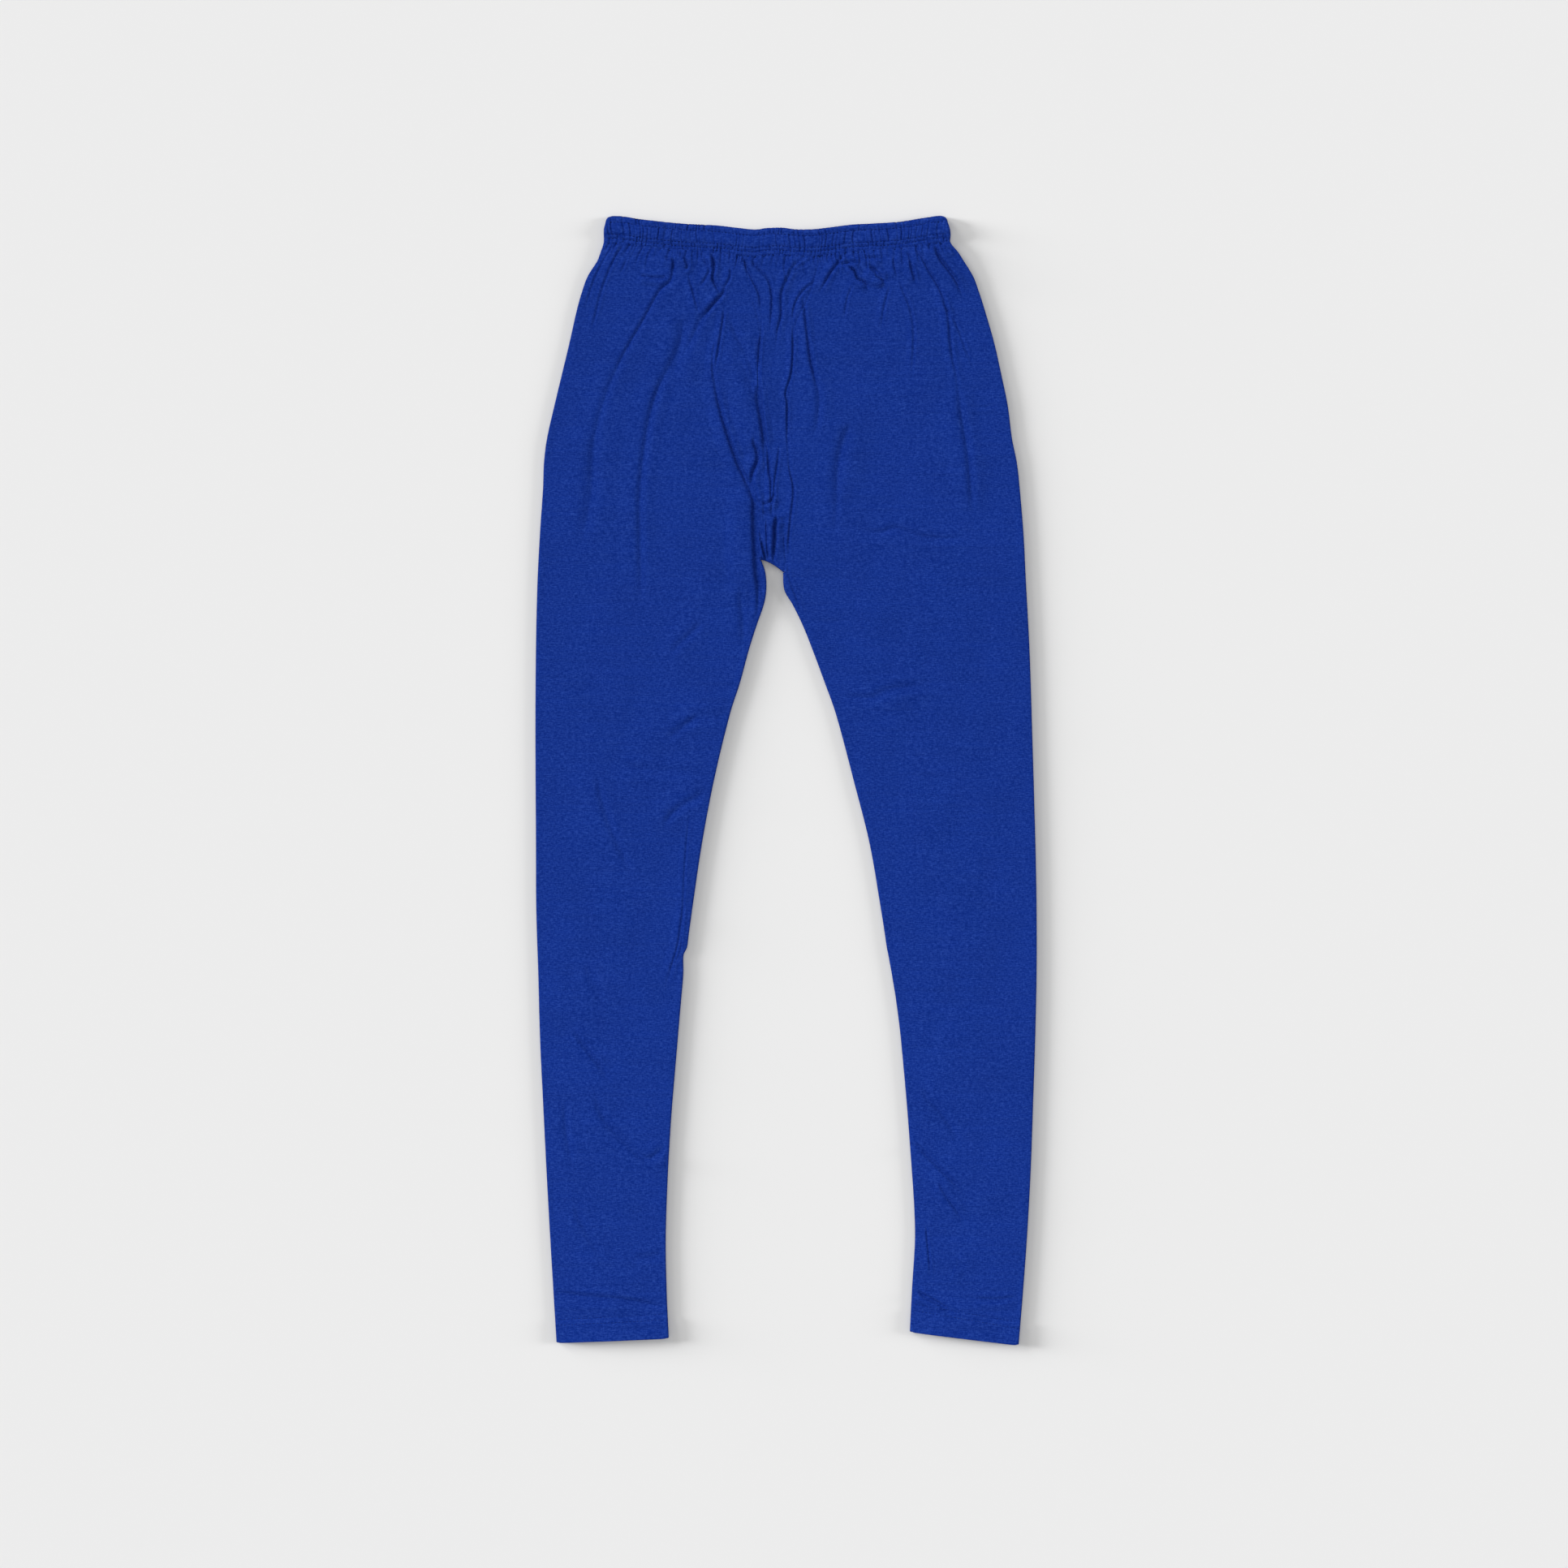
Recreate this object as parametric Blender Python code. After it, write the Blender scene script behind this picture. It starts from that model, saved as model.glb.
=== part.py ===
"""Churidar pants of stretch jersey, laid flat with the front up.

Metres, +Z up, waist towards +Y, underside on z = 0. "Down" is the distance from the level of
the waist's highest point towards the hems. Left and right are those of someone looking down
on the front, so the left leg lies towards -X.
"""

import math

import bmesh
import bpy
from mathutils import Vector

# Driving sizes
LENGTH = 1.070
WALL = 0.0010
HEM_WALL = 0.0020
HEM_RISE = 0.0012
BAND_WALL = 0.0020
SEAM_GAP = 0.0003
LEG_THICKNESS = 0.0032
BAND_THICKNESS = 0.0050
BAND_DEPTH = 0.0262

# The waist's top edge sags towards the middle
WAIST_SAG = 0.0132
WAIST_SAG_REACH = 0.180

# How the upper layer rises over the lower one
CROWN = 0.0007
BAND_LIFT = 0.0013
BAND_LIFT_REACH = 0.045
MOST_FOLD = 0.0020

# Gathers of the band, and the puckers that run on below it
GATHERS = 65
GATHER_HEIGHT = 0.0010
PUCKER_HEIGHT = 0.0011
PUCKER_REACH = 0.034

# How finely the pieces are divided
FRONT_COLUMNS = 28
BACK_COLUMNS = 6
KEPT_STEP = 4
GUSSET_COLUMNS = 4
POINTS_PER_GATHER = 3
GATHERS_PER_KEPT_COLUMN = 5
ROLL_ANGLES = (45, 0, -45)
GUSSET_TURN_ANGLES = (60, 20, -20, -60)

JERSEY = (0.010, 0.033, 0.250)
JERSEY_ROUGHNESS = 0.85

# Outer edges of the garment:
# down, left edge x, right edge x
OUTLINE = (
    (0.000, -0.1703, 0.1525),
    (0.0265, -0.1726, 0.1572),
    (0.057, -0.188, 0.177),
    (0.088, -0.198, 0.188),
    (0.119, -0.205, 0.197),
    (0.150, -0.2135, 0.204),
    (0.180, -0.220, 0.210),
    (0.211, -0.2265, 0.215),
    (0.257, -0.2302, 0.221),
    (0.303, -0.2333, 0.225),
    (0.349, -0.2356, 0.2275),
    (0.411, -0.237, 0.231),
    (0.488, -0.2375, 0.2333),
    (0.595, -0.237, 0.2364),
    (0.718, -0.2348, 0.2375),
    (0.841, -0.2302, 0.2345),
    (0.964, -0.2241, 0.2291),
    (1.070, -0.2170, 0.2200),
)

# Seams between the gusset and the legs:
# down, left seam x, right seam x
GUSSET_SEAMS = (
    (0.026, -0.040, 0.032),
    (0.040, -0.0373, 0.0288),
    (0.065, -0.032, 0.021),
    (0.092, -0.0252, 0.009),
    (0.134, -0.0250, 0.0058),
    (0.180, -0.0234, 0.0012),
    (0.226, -0.0205, 0.0031),
    (0.257, -0.0205, 0.0070),
    (0.288, -0.0215, 0.0042),
    (0.326, -0.0235, 0.0004),
    (0.340, -0.0235, -0.0030),
)
LEFT_CROTCH = 0.3263
RIGHT_CROTCH = 0.3378

# Inner edges of the two legs, from the crotch down:
# down, left leg's inner x, right leg's inner x
INNER_EDGES = (
    (0.326, -0.0236, -0.0028),
    (0.338, -0.0195, -0.0028),
    (0.355, -0.0186, -0.0015),
    (0.369, -0.0211, 0.0065),
    (0.388, -0.0277, 0.0158),
    (0.411, -0.035, 0.025),
    (0.442, -0.0434, 0.0365),
    (0.472, -0.0530, 0.0472),
    (0.534, -0.068, 0.0638),
    (0.595, -0.0796, 0.0792),
    (0.657, -0.0888, 0.0899),
    (0.718, -0.0985, 0.1003),
    (0.780, -0.103, 0.1088),
    (0.872, -0.1099, 0.1168),
    (0.964, -0.1138, 0.1222),
    (1.026, -0.113, 0.1195),
    (1.070, -0.111, 0.1173),
)

# How far down each hem ends:
# leg, at the outer edge, at the inner edge
HEM_ENDS = {
    "left": (1.0677, 1.0635),
    "right": (1.0700, 1.0574),
}
HEM_SLOPE_START = 0.90

# Rows of points down a leg, given as stretches of even rows:
# end of the stretch, number of rows. None stands for the crotch.
ROW_STRETCHES = (
    (0.066, 8),
    (None, 24),
    (0.450, 8),
    (0.860, 12),
    (1.046, 12),
)
HEM_ROWS = (1.050, 1.060, 1.070)

# The largest folds, each along a curve through a middle point:
# start x, start down, middle x, middle down, end x, end down, height, half width
FOLDS = (
    (-0.104, 0.043, -0.143, 0.112, -0.182, 0.205, 0.0019, 0.0095),
    (-0.165, 0.032, -0.188, 0.062, -0.195, 0.081, 0.0012, 0.0080),
    (-0.069, 0.038, -0.068, 0.056, -0.059, 0.075, 0.0018, 0.0075),
    (-0.059, 0.075, -0.074, 0.092, -0.087, 0.114, 0.0016, 0.0085),
    (-0.096, 0.056, -0.088, 0.074, -0.082, 0.092, 0.0012, 0.0080),
    (-0.059, 0.093, -0.066, 0.173, -0.032, 0.286, 0.0018, 0.0085),
    (-0.032, 0.286, -0.033, 0.318, -0.026, 0.365, 0.0016, 0.0080),
    (-0.037, 0.045, -0.027, 0.103, -0.027, 0.167, 0.0019, 0.0070),
    (-0.027, 0.167, -0.022, 0.217, -0.020, 0.249, 0.0016, 0.0070),
    (0.018, 0.042, -0.003, 0.066, -0.009, 0.130, 0.0018, 0.0065),
    (-0.015, 0.076, -0.015, 0.096, -0.016, 0.117, 0.0010, 0.0060),
    (0.013, 0.080, 0.001, 0.165, 0.007, 0.259, 0.0010, 0.0070),
    (0.053, 0.042, 0.041, 0.059, 0.033, 0.070, 0.0018, 0.0075),
    (0.045, 0.047, 0.058, 0.045, 0.067, 0.062, 0.0012, 0.0070),
    (0.017, 0.083, 0.022, 0.130, 0.033, 0.177, 0.0014, 0.0080),
    (0.063, 0.068, 0.058, 0.084, 0.055, 0.097, 0.0010, 0.0080),
    (0.099, 0.071, 0.094, 0.087, 0.090, 0.106, 0.0010, 0.0080),
    (0.108, 0.065, 0.120, 0.103, 0.123, 0.137, 0.0014, 0.0085),
    (0.126, 0.033, 0.149, 0.076, 0.159, 0.145, 0.0018, 0.0085),
    (0.149, 0.076, 0.162, 0.100, 0.171, 0.130, 0.0012, 0.0085),
    (0.141, 0.030, 0.159, 0.056, 0.171, 0.074, 0.0014, 0.0080),
    (-0.030, 0.214, -0.014, 0.257, -0.010, 0.305, 0.0018, 0.0065),
    (-0.138, 0.215, -0.139, 0.267, -0.140, 0.310, 0.0010, 0.0160),
    (-0.081, 0.552, -0.098, 0.560, -0.118, 0.583, 0.0012, 0.0130),
    (-0.091, 0.568, -0.100, 0.645, -0.112, 0.721, 0.0009, 0.0090),
    (-0.203, 0.770, -0.187, 0.792, -0.170, 0.816, 0.0010, 0.0150),
    (-0.166, 0.870, -0.157, 0.879, -0.146, 0.889, 0.0010, 0.0140),
    (0.071, 0.297, 0.095, 0.299, 0.120, 0.297, 0.0009, 0.0130),
    (0.063, 0.442, 0.095, 0.446, 0.128, 0.446, 0.0010, 0.0150),
    (0.118, 0.880, 0.145, 0.901, 0.173, 0.927, 0.0016, 0.0120),
    (0.145, 0.917, 0.159, 0.935, 0.170, 0.952, 0.0012, 0.0110),
    (0.133, 0.958, 0.134, 0.979, 0.137, 1.000, 0.0012, 0.0110),
    (0.130, 1.013, 0.144, 1.027, 0.156, 1.039, 0.0012, 0.0110),
    (-0.217, 1.020, -0.183, 1.024, -0.150, 1.030, 0.0010, 0.0130),
)
FOLD_STEPS = 6
FOLD_END_FADE = 0.25

# Rows of the band's front, from its top edge:
# down, share of the gathers' full height, drop of the rounded top edge
BAND_ROWS = (
    (0.0000, 0.45, 0.0007),
    (0.0014, 0.65, 0.0),
    (0.0060, 0.30, 0.0),
    (0.0120, 1.00, 0.0),
    (0.0185, 0.30, 0.0),
    (0.0222, 0.80, 0.0),
    (0.0262, 0.35, 0.0003),
)


def clear_scene():
    for item in list(bpy.data.objects):
        bpy.data.objects.remove(item)


def mix(a, b, share):
    return a + (b - a) * share


def smooth(share):
    """0 below 0, 1 above 1, and an S-curve between them."""
    share = min(1.0, max(0.0, share))
    return share * share * (3 - 2 * share)


def uneven(number):
    """A steady pseudo-random value from 0 to 1 for a whole number."""
    value = math.sin(number * 12.9898 + 4.1) * 437.5453
    return value - math.floor(value)


def read_table(table, down, column):
    """The smooth curve through one column of a table, at a distance down."""
    last = len(table) - 1
    place = 0
    while place < last - 1 and table[place + 1][0] < down:
        place += 1
    before, start = table[max(0, place - 1)], table[place]
    end, after = table[place + 1], table[min(last, place + 2)]
    width = end[0] - start[0]
    share = min(1.0, max(0.0, (down - start[0]) / width))
    start_slope = width * (end[column] - before[column]) / (end[0] - before[0])
    end_slope = width * (after[column] - start[column]) / (after[0] - start[0])
    square, cube = share**2, share**3
    return (
        (2 * cube - 3 * square + 1) * start[column]
        + (cube - 2 * square + share) * start_slope
        + (3 * square - 2 * cube) * end[column]
        + (cube - square) * end_slope
    )


def waist_sag(x):
    """How far the waist's top edge lies below its highest level."""
    return WAIST_SAG * (0.5 + 0.5 * math.cos(math.pi * min(1.0, abs(x) / WAIST_SAG_REACH)))


def row_sag(x, down, crotch):
    """The sag of a row below the band, which has faded away at the crotch."""
    return waist_sag(x) * (1 - smooth((down - BAND_DEPTH) / (crotch - BAND_DEPTH)))


def fold_curve(fold):
    """Points along a fold, through its middle point, and how strong it is at each."""
    start, middle, end = Vector(fold[0:2]), Vector(fold[2:4]), Vector(fold[4:6])
    bend = 2 * middle - (start + end) / 2
    points = []
    for step in range(FOLD_STEPS + 1):
        share = step / FOLD_STEPS
        point = start * (1 - share) ** 2 + bend * 2 * share * (1 - share) + end * share**2
        strength = smooth(share / FOLD_END_FADE) * smooth((1 - share) / FOLD_END_FADE)
        points.append((point, mix(0.25, 1.0, strength)))
    return points


FOLD_CURVES = [(fold_curve(fold), fold[6], fold[7]) for fold in FOLDS]


def fold_height(x, down):
    """How far the folds raise the cloth at a place."""
    here = Vector((x, down))
    total = 0.0
    for points, height, half_width in FOLD_CURVES:
        best = 0.0
        for (a, a_strength), (b, b_strength) in zip(points, points[1:]):
            along = b - a
            share = min(1.0, max(0.0, (here - a).dot(along) / along.length_squared))
            distance = (here - a - along * share).length
            if distance < half_width:
                profile = 0.5 + 0.5 * math.cos(math.pi * distance / half_width)
                best = max(best, profile * mix(a_strength, b_strength, share))
        total += best * height
    return min(total, MOST_FOLD)


def pucker_height(column, below_band):
    """Every second column just below the band is raised, each for its own distance."""
    if column % 2 == 0:
        return 0.0
    reach = PUCKER_REACH * mix(0.5, 1.3, uneven(column))
    return PUCKER_HEIGHT * mix(0.6, 1.0, uneven(column + 50)) * (1 - smooth(below_band / reach))


def upper_height(share, below_band):
    """Top of the plain upper layer, at a share of the way across a leg."""
    lift = BAND_LIFT * (1 - smooth(below_band / BAND_LIFT_REACH))
    return LEG_THICKNESS + CROWN * math.sin(math.pi * share) + lift


def new_object(name, vertices, faces, colour):
    mesh = bpy.data.meshes.new(name)
    mesh.from_pydata(vertices, [], faces)
    shape = bmesh.new()
    shape.from_mesh(mesh)
    bmesh.ops.recalc_face_normals(shape, faces=shape.faces)
    shape.to_mesh(mesh)
    shape.free()
    mesh.shade_smooth()
    mesh.set_sharp_from_angle(angle=math.radians(50))
    mesh.materials.append(jersey(name, colour))
    made = bpy.data.objects.new(name, mesh)
    bpy.context.scene.collection.objects.link(made)
    return made


def jersey(name, colour):
    material = bpy.data.materials.new("jersey_" + name)
    material.use_nodes = True
    shader = material.node_tree.nodes["Principled BSDF"]
    shader.inputs["Base Color"].default_value = (*colour, 1)
    shader.inputs["Roughness"].default_value = JERSEY_ROUGHNESS
    shader.inputs["Metallic"].default_value = 0.0
    return material


class Shell:
    """Collects the points and faces of a wall whose inside is coarser than its outside."""

    def __init__(self):
        self.points = []
        self.faces = []

    def add(self, points):
        """Adds a list of points and gives their numbers."""
        start = len(self.points)
        self.points.extend(points)
        return list(range(start, start + len(points)))

    def quads(self, lines):
        """Faces between each list of numbers and the next."""
        for line, following in zip(lines, lines[1:]):
            for i in range(len(line) - 1):
                self.faces.append((line[i], line[i + 1], following[i + 1], following[i]))

    def rim(self, fine, coarse, kept):
        """Faces between a fine line and a coarse one, whose points match fine's kept ones."""
        for i in range(len(kept) - 1):
            stretch = fine[kept[i] : kept[i + 1] + 1]
            self.faces.append((*stretch, coarse[i + 1], coarse[i]))


class Leg:
    """One leg panel: open along the gusset above the crotch, a flat tube below it."""

    def __init__(self, side):
        self.column = 1 if side == "left" else 2
        self.outward = -1 if side == "left" else 1
        self.hem_ends = HEM_ENDS[side]
        self.crotch = (LEFT_CROTCH if side == "left" else RIGHT_CROTCH) + SEAM_GAP
        self.rows = self.row_places()
        self.crotch_row = self.rows.index(self.crotch)
        hem_row = len(self.rows) - len(HEM_ROWS)
        self.kept_rows = list(range(self.crotch_row))
        self.kept_rows += list(range(self.crotch_row, hem_row, KEPT_STEP))
        self.kept_rows += list(range(hem_row, len(self.rows)))

    def row_places(self):
        places = [BAND_DEPTH + SEAM_GAP]
        for end, count in ROW_STRETCHES:
            start, end = places[-1], self.crotch if end is None else end
            places += [mix(start, end, (step + 1) / count) for step in range(count - 1)]
            places.append(end)
        return places + list(HEM_ROWS)

    def outer_x(self, down):
        return read_table(OUTLINE, down, self.column)

    def inner_x(self, down):
        if down < self.crotch:
            return read_table(GUSSET_SEAMS, down, self.column) + self.outward * SEAM_GAP / 2
        return read_table(INNER_EDGES, down, self.column)

    def place(self, x, down, z):
        """A point, with the rows bent to follow the sagging waist and the sloping hem."""
        sag = row_sag(x, down, self.crotch)
        share = (x - self.outer_x(down)) / (self.inner_x(down) - self.outer_x(down))
        hem_end = mix(*self.hem_ends, min(1.0, max(0.0, share)))
        slope = (hem_end - HEM_ROWS[-1]) * smooth(
            (down - HEM_SLOPE_START) / (HEM_ROWS[-1] - HEM_SLOPE_START)
        )
        return Vector((x, LENGTH / 2 - down - sag - slope, z))

    def wall(self, down):
        """The wall is doubled where the hem is turned up."""
        return HEM_WALL if down > HEM_ROWS[0] - SEAM_GAP else WALL

    def roll_points(self, x, down, direction, angles, inset):
        """Points round a folded edge, whose tip is at x and which points in a direction."""
        thickness = self.edge_height(down)
        radius = thickness / 2 - inset
        centre = x - direction * thickness / 2
        points = []
        for degrees in angles:
            angle = math.radians(degrees)
            points.append(
                self.place(
                    centre + direction * radius * math.cos(angle),
                    down,
                    thickness / 2 + radius * math.sin(angle),
                )
            )
        return points

    def edge_height(self, down):
        return upper_height(0, down - BAND_DEPTH) + HEM_RISE * (self.wall(down) > WALL)

    def front_x(self, share, down):
        """From the inner edge at share 0 to the outer edge at share 1, inside the rolls."""
        roll = self.edge_height(down) / 2
        start = self.inner_x(down)
        if down >= self.crotch:
            start += self.outward * roll
        return mix(start, self.outer_x(down) - self.outward * roll, share)

    def outer_ring(self, row):
        """Outside points of one row: front, outer fold, back and, below the crotch, inner fold."""
        down = self.rows[row]
        added = self.edge_height(down) - upper_height(0, down - BAND_DEPTH)
        points = []
        for column in range(FRONT_COLUMNS + 1):
            share = column / FRONT_COLUMNS
            x = self.front_x(share, down)
            z = upper_height(share, down - BAND_DEPTH) + added
            if 0 < column < FRONT_COLUMNS or down < self.crotch:
                z += fold_height(x, down + waist_sag(x)) + pucker_height(column, down - BAND_DEPTH)
            z = min(z, upper_height(share, down - BAND_DEPTH) + added + MOST_FOLD)
            points.append(self.place(x, down, z))
        points += self.roll_points(self.outer_x(down), down, self.outward, ROLL_ANGLES, 0)
        for column in range(BACK_COLUMNS + 1):
            x = self.front_x(1 - column / BACK_COLUMNS, down)
            points.append(self.place(x, down, 0))
        if row >= self.crotch_row:
            angles = tuple(reversed(ROLL_ANGLES))
            points += self.roll_points(self.inner_x(down), down, -self.outward, angles, 0)
        return points

    def inner_ring(self, row):
        """Inside points of one row, which match the kept ones of the outer ring."""
        down = self.rows[row]
        wall = self.wall(down)
        added = self.edge_height(down) - upper_height(0, down - BAND_DEPTH)
        points = []
        for column in range(0, FRONT_COLUMNS + 1, KEPT_STEP):
            share = column / FRONT_COLUMNS
            z = upper_height(share, down - BAND_DEPTH) + added - wall
            points.append(self.place(self.front_x(share, down), down, z))
        points += self.roll_points(self.outer_x(down), down, self.outward, (0,), wall * 0.9)
        for column in range(BACK_COLUMNS + 1):
            x = self.front_x(1 - column / BACK_COLUMNS, down)
            points.append(self.place(x, down, wall))
        if row >= self.crotch_row:
            points += self.roll_points(self.inner_x(down), down, -self.outward, (0,), wall * 0.9)
        return points

    def kept_columns(self):
        """Numbers of the outer ring's points that the inner ring repeats."""
        front = list(range(0, FRONT_COLUMNS + 1, KEPT_STEP))
        fold = FRONT_COLUMNS + 1 + len(ROLL_ANGLES) // 2
        back = FRONT_COLUMNS + 1 + len(ROLL_ANGLES)
        return front + [fold] + list(range(back, back + BACK_COLUMNS + 1))

    def build(self, name):
        shell = Shell()
        rows = range(len(self.rows))
        outer = [shell.add(self.outer_ring(row)) for row in rows]
        inner = {row: shell.add(self.inner_ring(row)) for row in self.kept_rows}
        kept = self.kept_columns()
        open_count = kept[-1] + 1
        closing = [line[open_count - 1 :] + line[:1] for line in outer[self.crotch_row :]]
        closing_kept = [0, 1 + len(ROLL_ANGLES) // 2, 1 + len(ROLL_ANGLES)]
        inner_lines = [inner[row] for row in self.kept_rows]
        below = [inner[row] for row in self.kept_rows if row >= self.crotch_row]
        closing_inner = [line[len(kept) - 1 :] + line[:1] for line in below]

        shell.quads([line[:open_count] for line in outer])
        shell.quads(closing)
        shell.quads([line[: len(kept)] for line in inner_lines])
        shell.quads(closing_inner)
        shell.rim(outer[0], inner[0], kept)
        shell.rim(outer[-1], inner_lines[-1], kept)
        shell.rim(closing[-1], closing_inner[-1], closing_kept)
        shell.rim(closing[0], closing_inner[0], closing_kept)
        above = [row for row in self.kept_rows if row <= self.crotch_row]
        for column, kept_column in ((0, 0), (kept[-1], len(kept) - 1)):
            seam = [outer[row][column] for row in range(self.crotch_row + 1)]
            inside = [inner[row][kept_column] for row in above]
            shell.rim(seam, inside, above)
        return new_object(name, shell.points, shell.faces, JERSEY)


class Gusset:
    """The strip between the legs, which follows their rows of points and turns at the crotch."""

    def __init__(self, left_leg, right_leg):
        self.left_leg = left_leg
        self.right_leg = right_leg
        self.roll = LEG_THICKNESS / 2

    def seam_point(self, leg, row):
        """A point of the strip's edge, and how far down it is along the leg."""
        down = leg.rows[row] - (SEAM_GAP if row == leg.crotch_row else 0)
        x = leg.inner_x(down) - leg.outward * SEAM_GAP
        point = leg.place(x, down, 0)
        if row == leg.crotch_row:
            above = leg.place(leg.inner_x(leg.rows[row - 1]), leg.rows[row - 1], 0)
            point = point + (above - point).normalized() * self.roll
        return point, down

    def line(self, row, front, inset):
        """Points across the strip at one row, on its front or its back."""
        left, down = self.seam_point(self.left_leg, row)
        right, _ = self.seam_point(self.right_leg, row)
        crotch = self.left_leg.crotch
        below_band = down - BAND_DEPTH
        top = upper_height(0, below_band)
        points = []
        for column in range(GUSSET_COLUMNS + 1):
            share = column / GUSSET_COLUMNS
            point = left.lerp(right, share)
            ends_sag = mix(row_sag(left.x, down, crotch), row_sag(right.x, down, crotch), share)
            point.y -= row_sag(point.x, down, crotch) - ends_sag
            point.z = inset
            if front:
                point.z = top - inset
            if front and not inset and row < self.left_leg.crotch_row:
                raised = fold_height(point.x, LENGTH / 2 - point.y)
                point.z += min(MOST_FOLD, raised + pucker_height(column, below_band))
            points.append(point)
        return points

    def turn(self, degrees, inset):
        """Points across the strip where it turns round the crotch."""
        angle = math.radians(degrees)
        reach = self.roll - inset
        points = []
        for point in self.line(self.left_leg.crotch_row, True, inset):
            point.y -= reach * math.cos(angle)
            point.z = self.roll + reach * math.sin(angle)
            points.append(point)
        return points

    def layer(self, inset):
        """All lines of one face, from the front waist round the crotch to the back waist."""
        rows = range(self.left_leg.crotch_row + 1)
        lines = [self.line(row, True, inset) for row in rows]
        lines += [self.turn(degrees, inset) for degrees in GUSSET_TURN_ANGLES]
        lines += [self.line(row, False, inset) for row in reversed(rows)]
        return lines

    def build(self, name):
        shell = Shell()
        outside = [shell.add(line) for line in self.layer(0)]
        inside = [shell.add(line) for line in self.layer(WALL)]
        shell.quads(outside)
        shell.quads(inside)
        for end in (0, -1):
            shell.quads([outside[end], inside[end]])
        for side in (0, -1):
            shell.quads([[line[side] for line in outside], [line[side] for line in inside]])
        return new_object(name, shell.points, shell.faces, JERSEY)


def band_ends(down):
    return read_table(OUTLINE, down, 1), read_table(OUTLINE, down, 2)


def band_place(x, down, z):
    return Vector((x, LENGTH / 2 - down - waist_sag(x), z))


def gather_height(point_number):
    """Each gather has a narrow valley and a broad, uneven ridge."""
    if point_number % POINTS_PER_GATHER == 0:
        return 0.0
    gather = point_number // POINTS_PER_GATHER
    return GATHER_HEIGHT * mix(0.55, 1.0, uneven(gather))


def band_fold(x, down, direction, angles, inset):
    """Points round the band's folded end, whose tip is at x."""
    radius = BAND_THICKNESS / 2 - inset
    centre = x - direction * BAND_THICKNESS / 2
    points = []
    for degrees in angles:
        angle = math.radians(degrees)
        around = centre + direction * radius * math.cos(angle)
        points.append(band_place(around, down, BAND_THICKNESS / 2 + radius * math.sin(angle)))
    return points


def band_ring(down, share, drop, inset, front_step):
    """Points round the band at one height: front, right end, back and left end."""
    left, right = band_ends(down)
    start, end = left + BAND_THICKNESS / 2, right - BAND_THICKNESS / 2
    count = GATHERS * POINTS_PER_GATHER
    points = []
    for number in range(0, count + 1, front_step):
        shift = 0.25 * (uneven(number // POINTS_PER_GATHER) - 0.5) if number % count else 0
        x = mix(start, end, (number + shift) / count)
        raised = 0 if inset else gather_height(number) * share - drop
        points.append(band_place(x, down, BAND_THICKNESS - inset + raised))
    angles = (0,) if inset else ROLL_ANGLES
    points += band_fold(right, down, 1, angles, inset)
    back_count = GATHERS // GATHERS_PER_KEPT_COLUMN
    for number in range(back_count + 1):
        points.append(band_place(mix(end, start, number / back_count), down, inset))
    points += band_fold(left, down, -1, reversed(angles), inset)
    return points


def build_waistband():
    shell = Shell()
    outer = []
    for down, share, drop in BAND_ROWS:
        outer.append(shell.add(band_ring(down, share, drop, 0, 1)))
    step = POINTS_PER_GATHER * GATHERS_PER_KEPT_COLUMN
    inner = []
    for down in (BAND_ROWS[0][0], BAND_ROWS[-1][0]):
        inner.append(shell.add(band_ring(down, 0, 0, BAND_WALL, step)))
    front_last = GATHERS * POINTS_PER_GATHER
    back_first = front_last + 1 + len(ROLL_ANGLES)
    back_last = back_first + GATHERS // GATHERS_PER_KEPT_COLUMN
    middle = 1 + len(ROLL_ANGLES) // 2
    kept = list(range(0, front_last + 1, step))
    kept += [front_last + middle] + list(range(back_first, back_last + 1))
    kept += [back_last + middle, back_last + 1 + len(ROLL_ANGLES)]
    closed_outer = [line + line[:1] for line in outer]
    closed_inner = [line + line[:1] for line in inner]
    shell.quads(closed_outer)
    shell.quads(closed_inner)
    shell.rim(closed_outer[0], closed_inner[0], kept)
    shell.rim(closed_outer[-1], closed_inner[-1], kept)
    return new_object("waistband", shell.points, shell.faces, JERSEY)


clear_scene()
left_leg = Leg("left")
right_leg = Leg("right")
left_leg.build("leg_left")
right_leg.build("leg_right")
Gusset(left_leg, right_leg).build("gusset")
build_waistband()
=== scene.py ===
"""The looks of churidar pants of heathered stretch jersey, laid flat with the front up.

Metres, +Z up, waist towards +Y. "Down" is the distance from the level of the waist's highest
point towards the hems. Left and right are those of someone looking down on the front.
"""

import math

import bpy
import numpy as np
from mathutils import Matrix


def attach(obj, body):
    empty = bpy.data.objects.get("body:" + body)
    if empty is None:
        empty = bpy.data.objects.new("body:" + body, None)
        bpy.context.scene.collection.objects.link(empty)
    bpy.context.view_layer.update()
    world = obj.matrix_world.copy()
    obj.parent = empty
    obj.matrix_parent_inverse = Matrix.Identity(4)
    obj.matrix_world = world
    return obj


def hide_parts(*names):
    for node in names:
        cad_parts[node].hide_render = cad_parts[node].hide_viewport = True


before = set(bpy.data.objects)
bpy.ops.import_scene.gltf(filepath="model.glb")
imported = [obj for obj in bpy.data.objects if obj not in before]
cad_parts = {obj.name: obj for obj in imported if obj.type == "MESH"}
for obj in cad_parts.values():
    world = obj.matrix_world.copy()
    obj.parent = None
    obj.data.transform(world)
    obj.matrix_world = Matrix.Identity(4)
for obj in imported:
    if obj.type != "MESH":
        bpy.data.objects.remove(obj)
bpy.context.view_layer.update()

# Driving sizes, as in the solids
LENGTH = 1.070
LEG_THICKNESS = 0.0032
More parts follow.
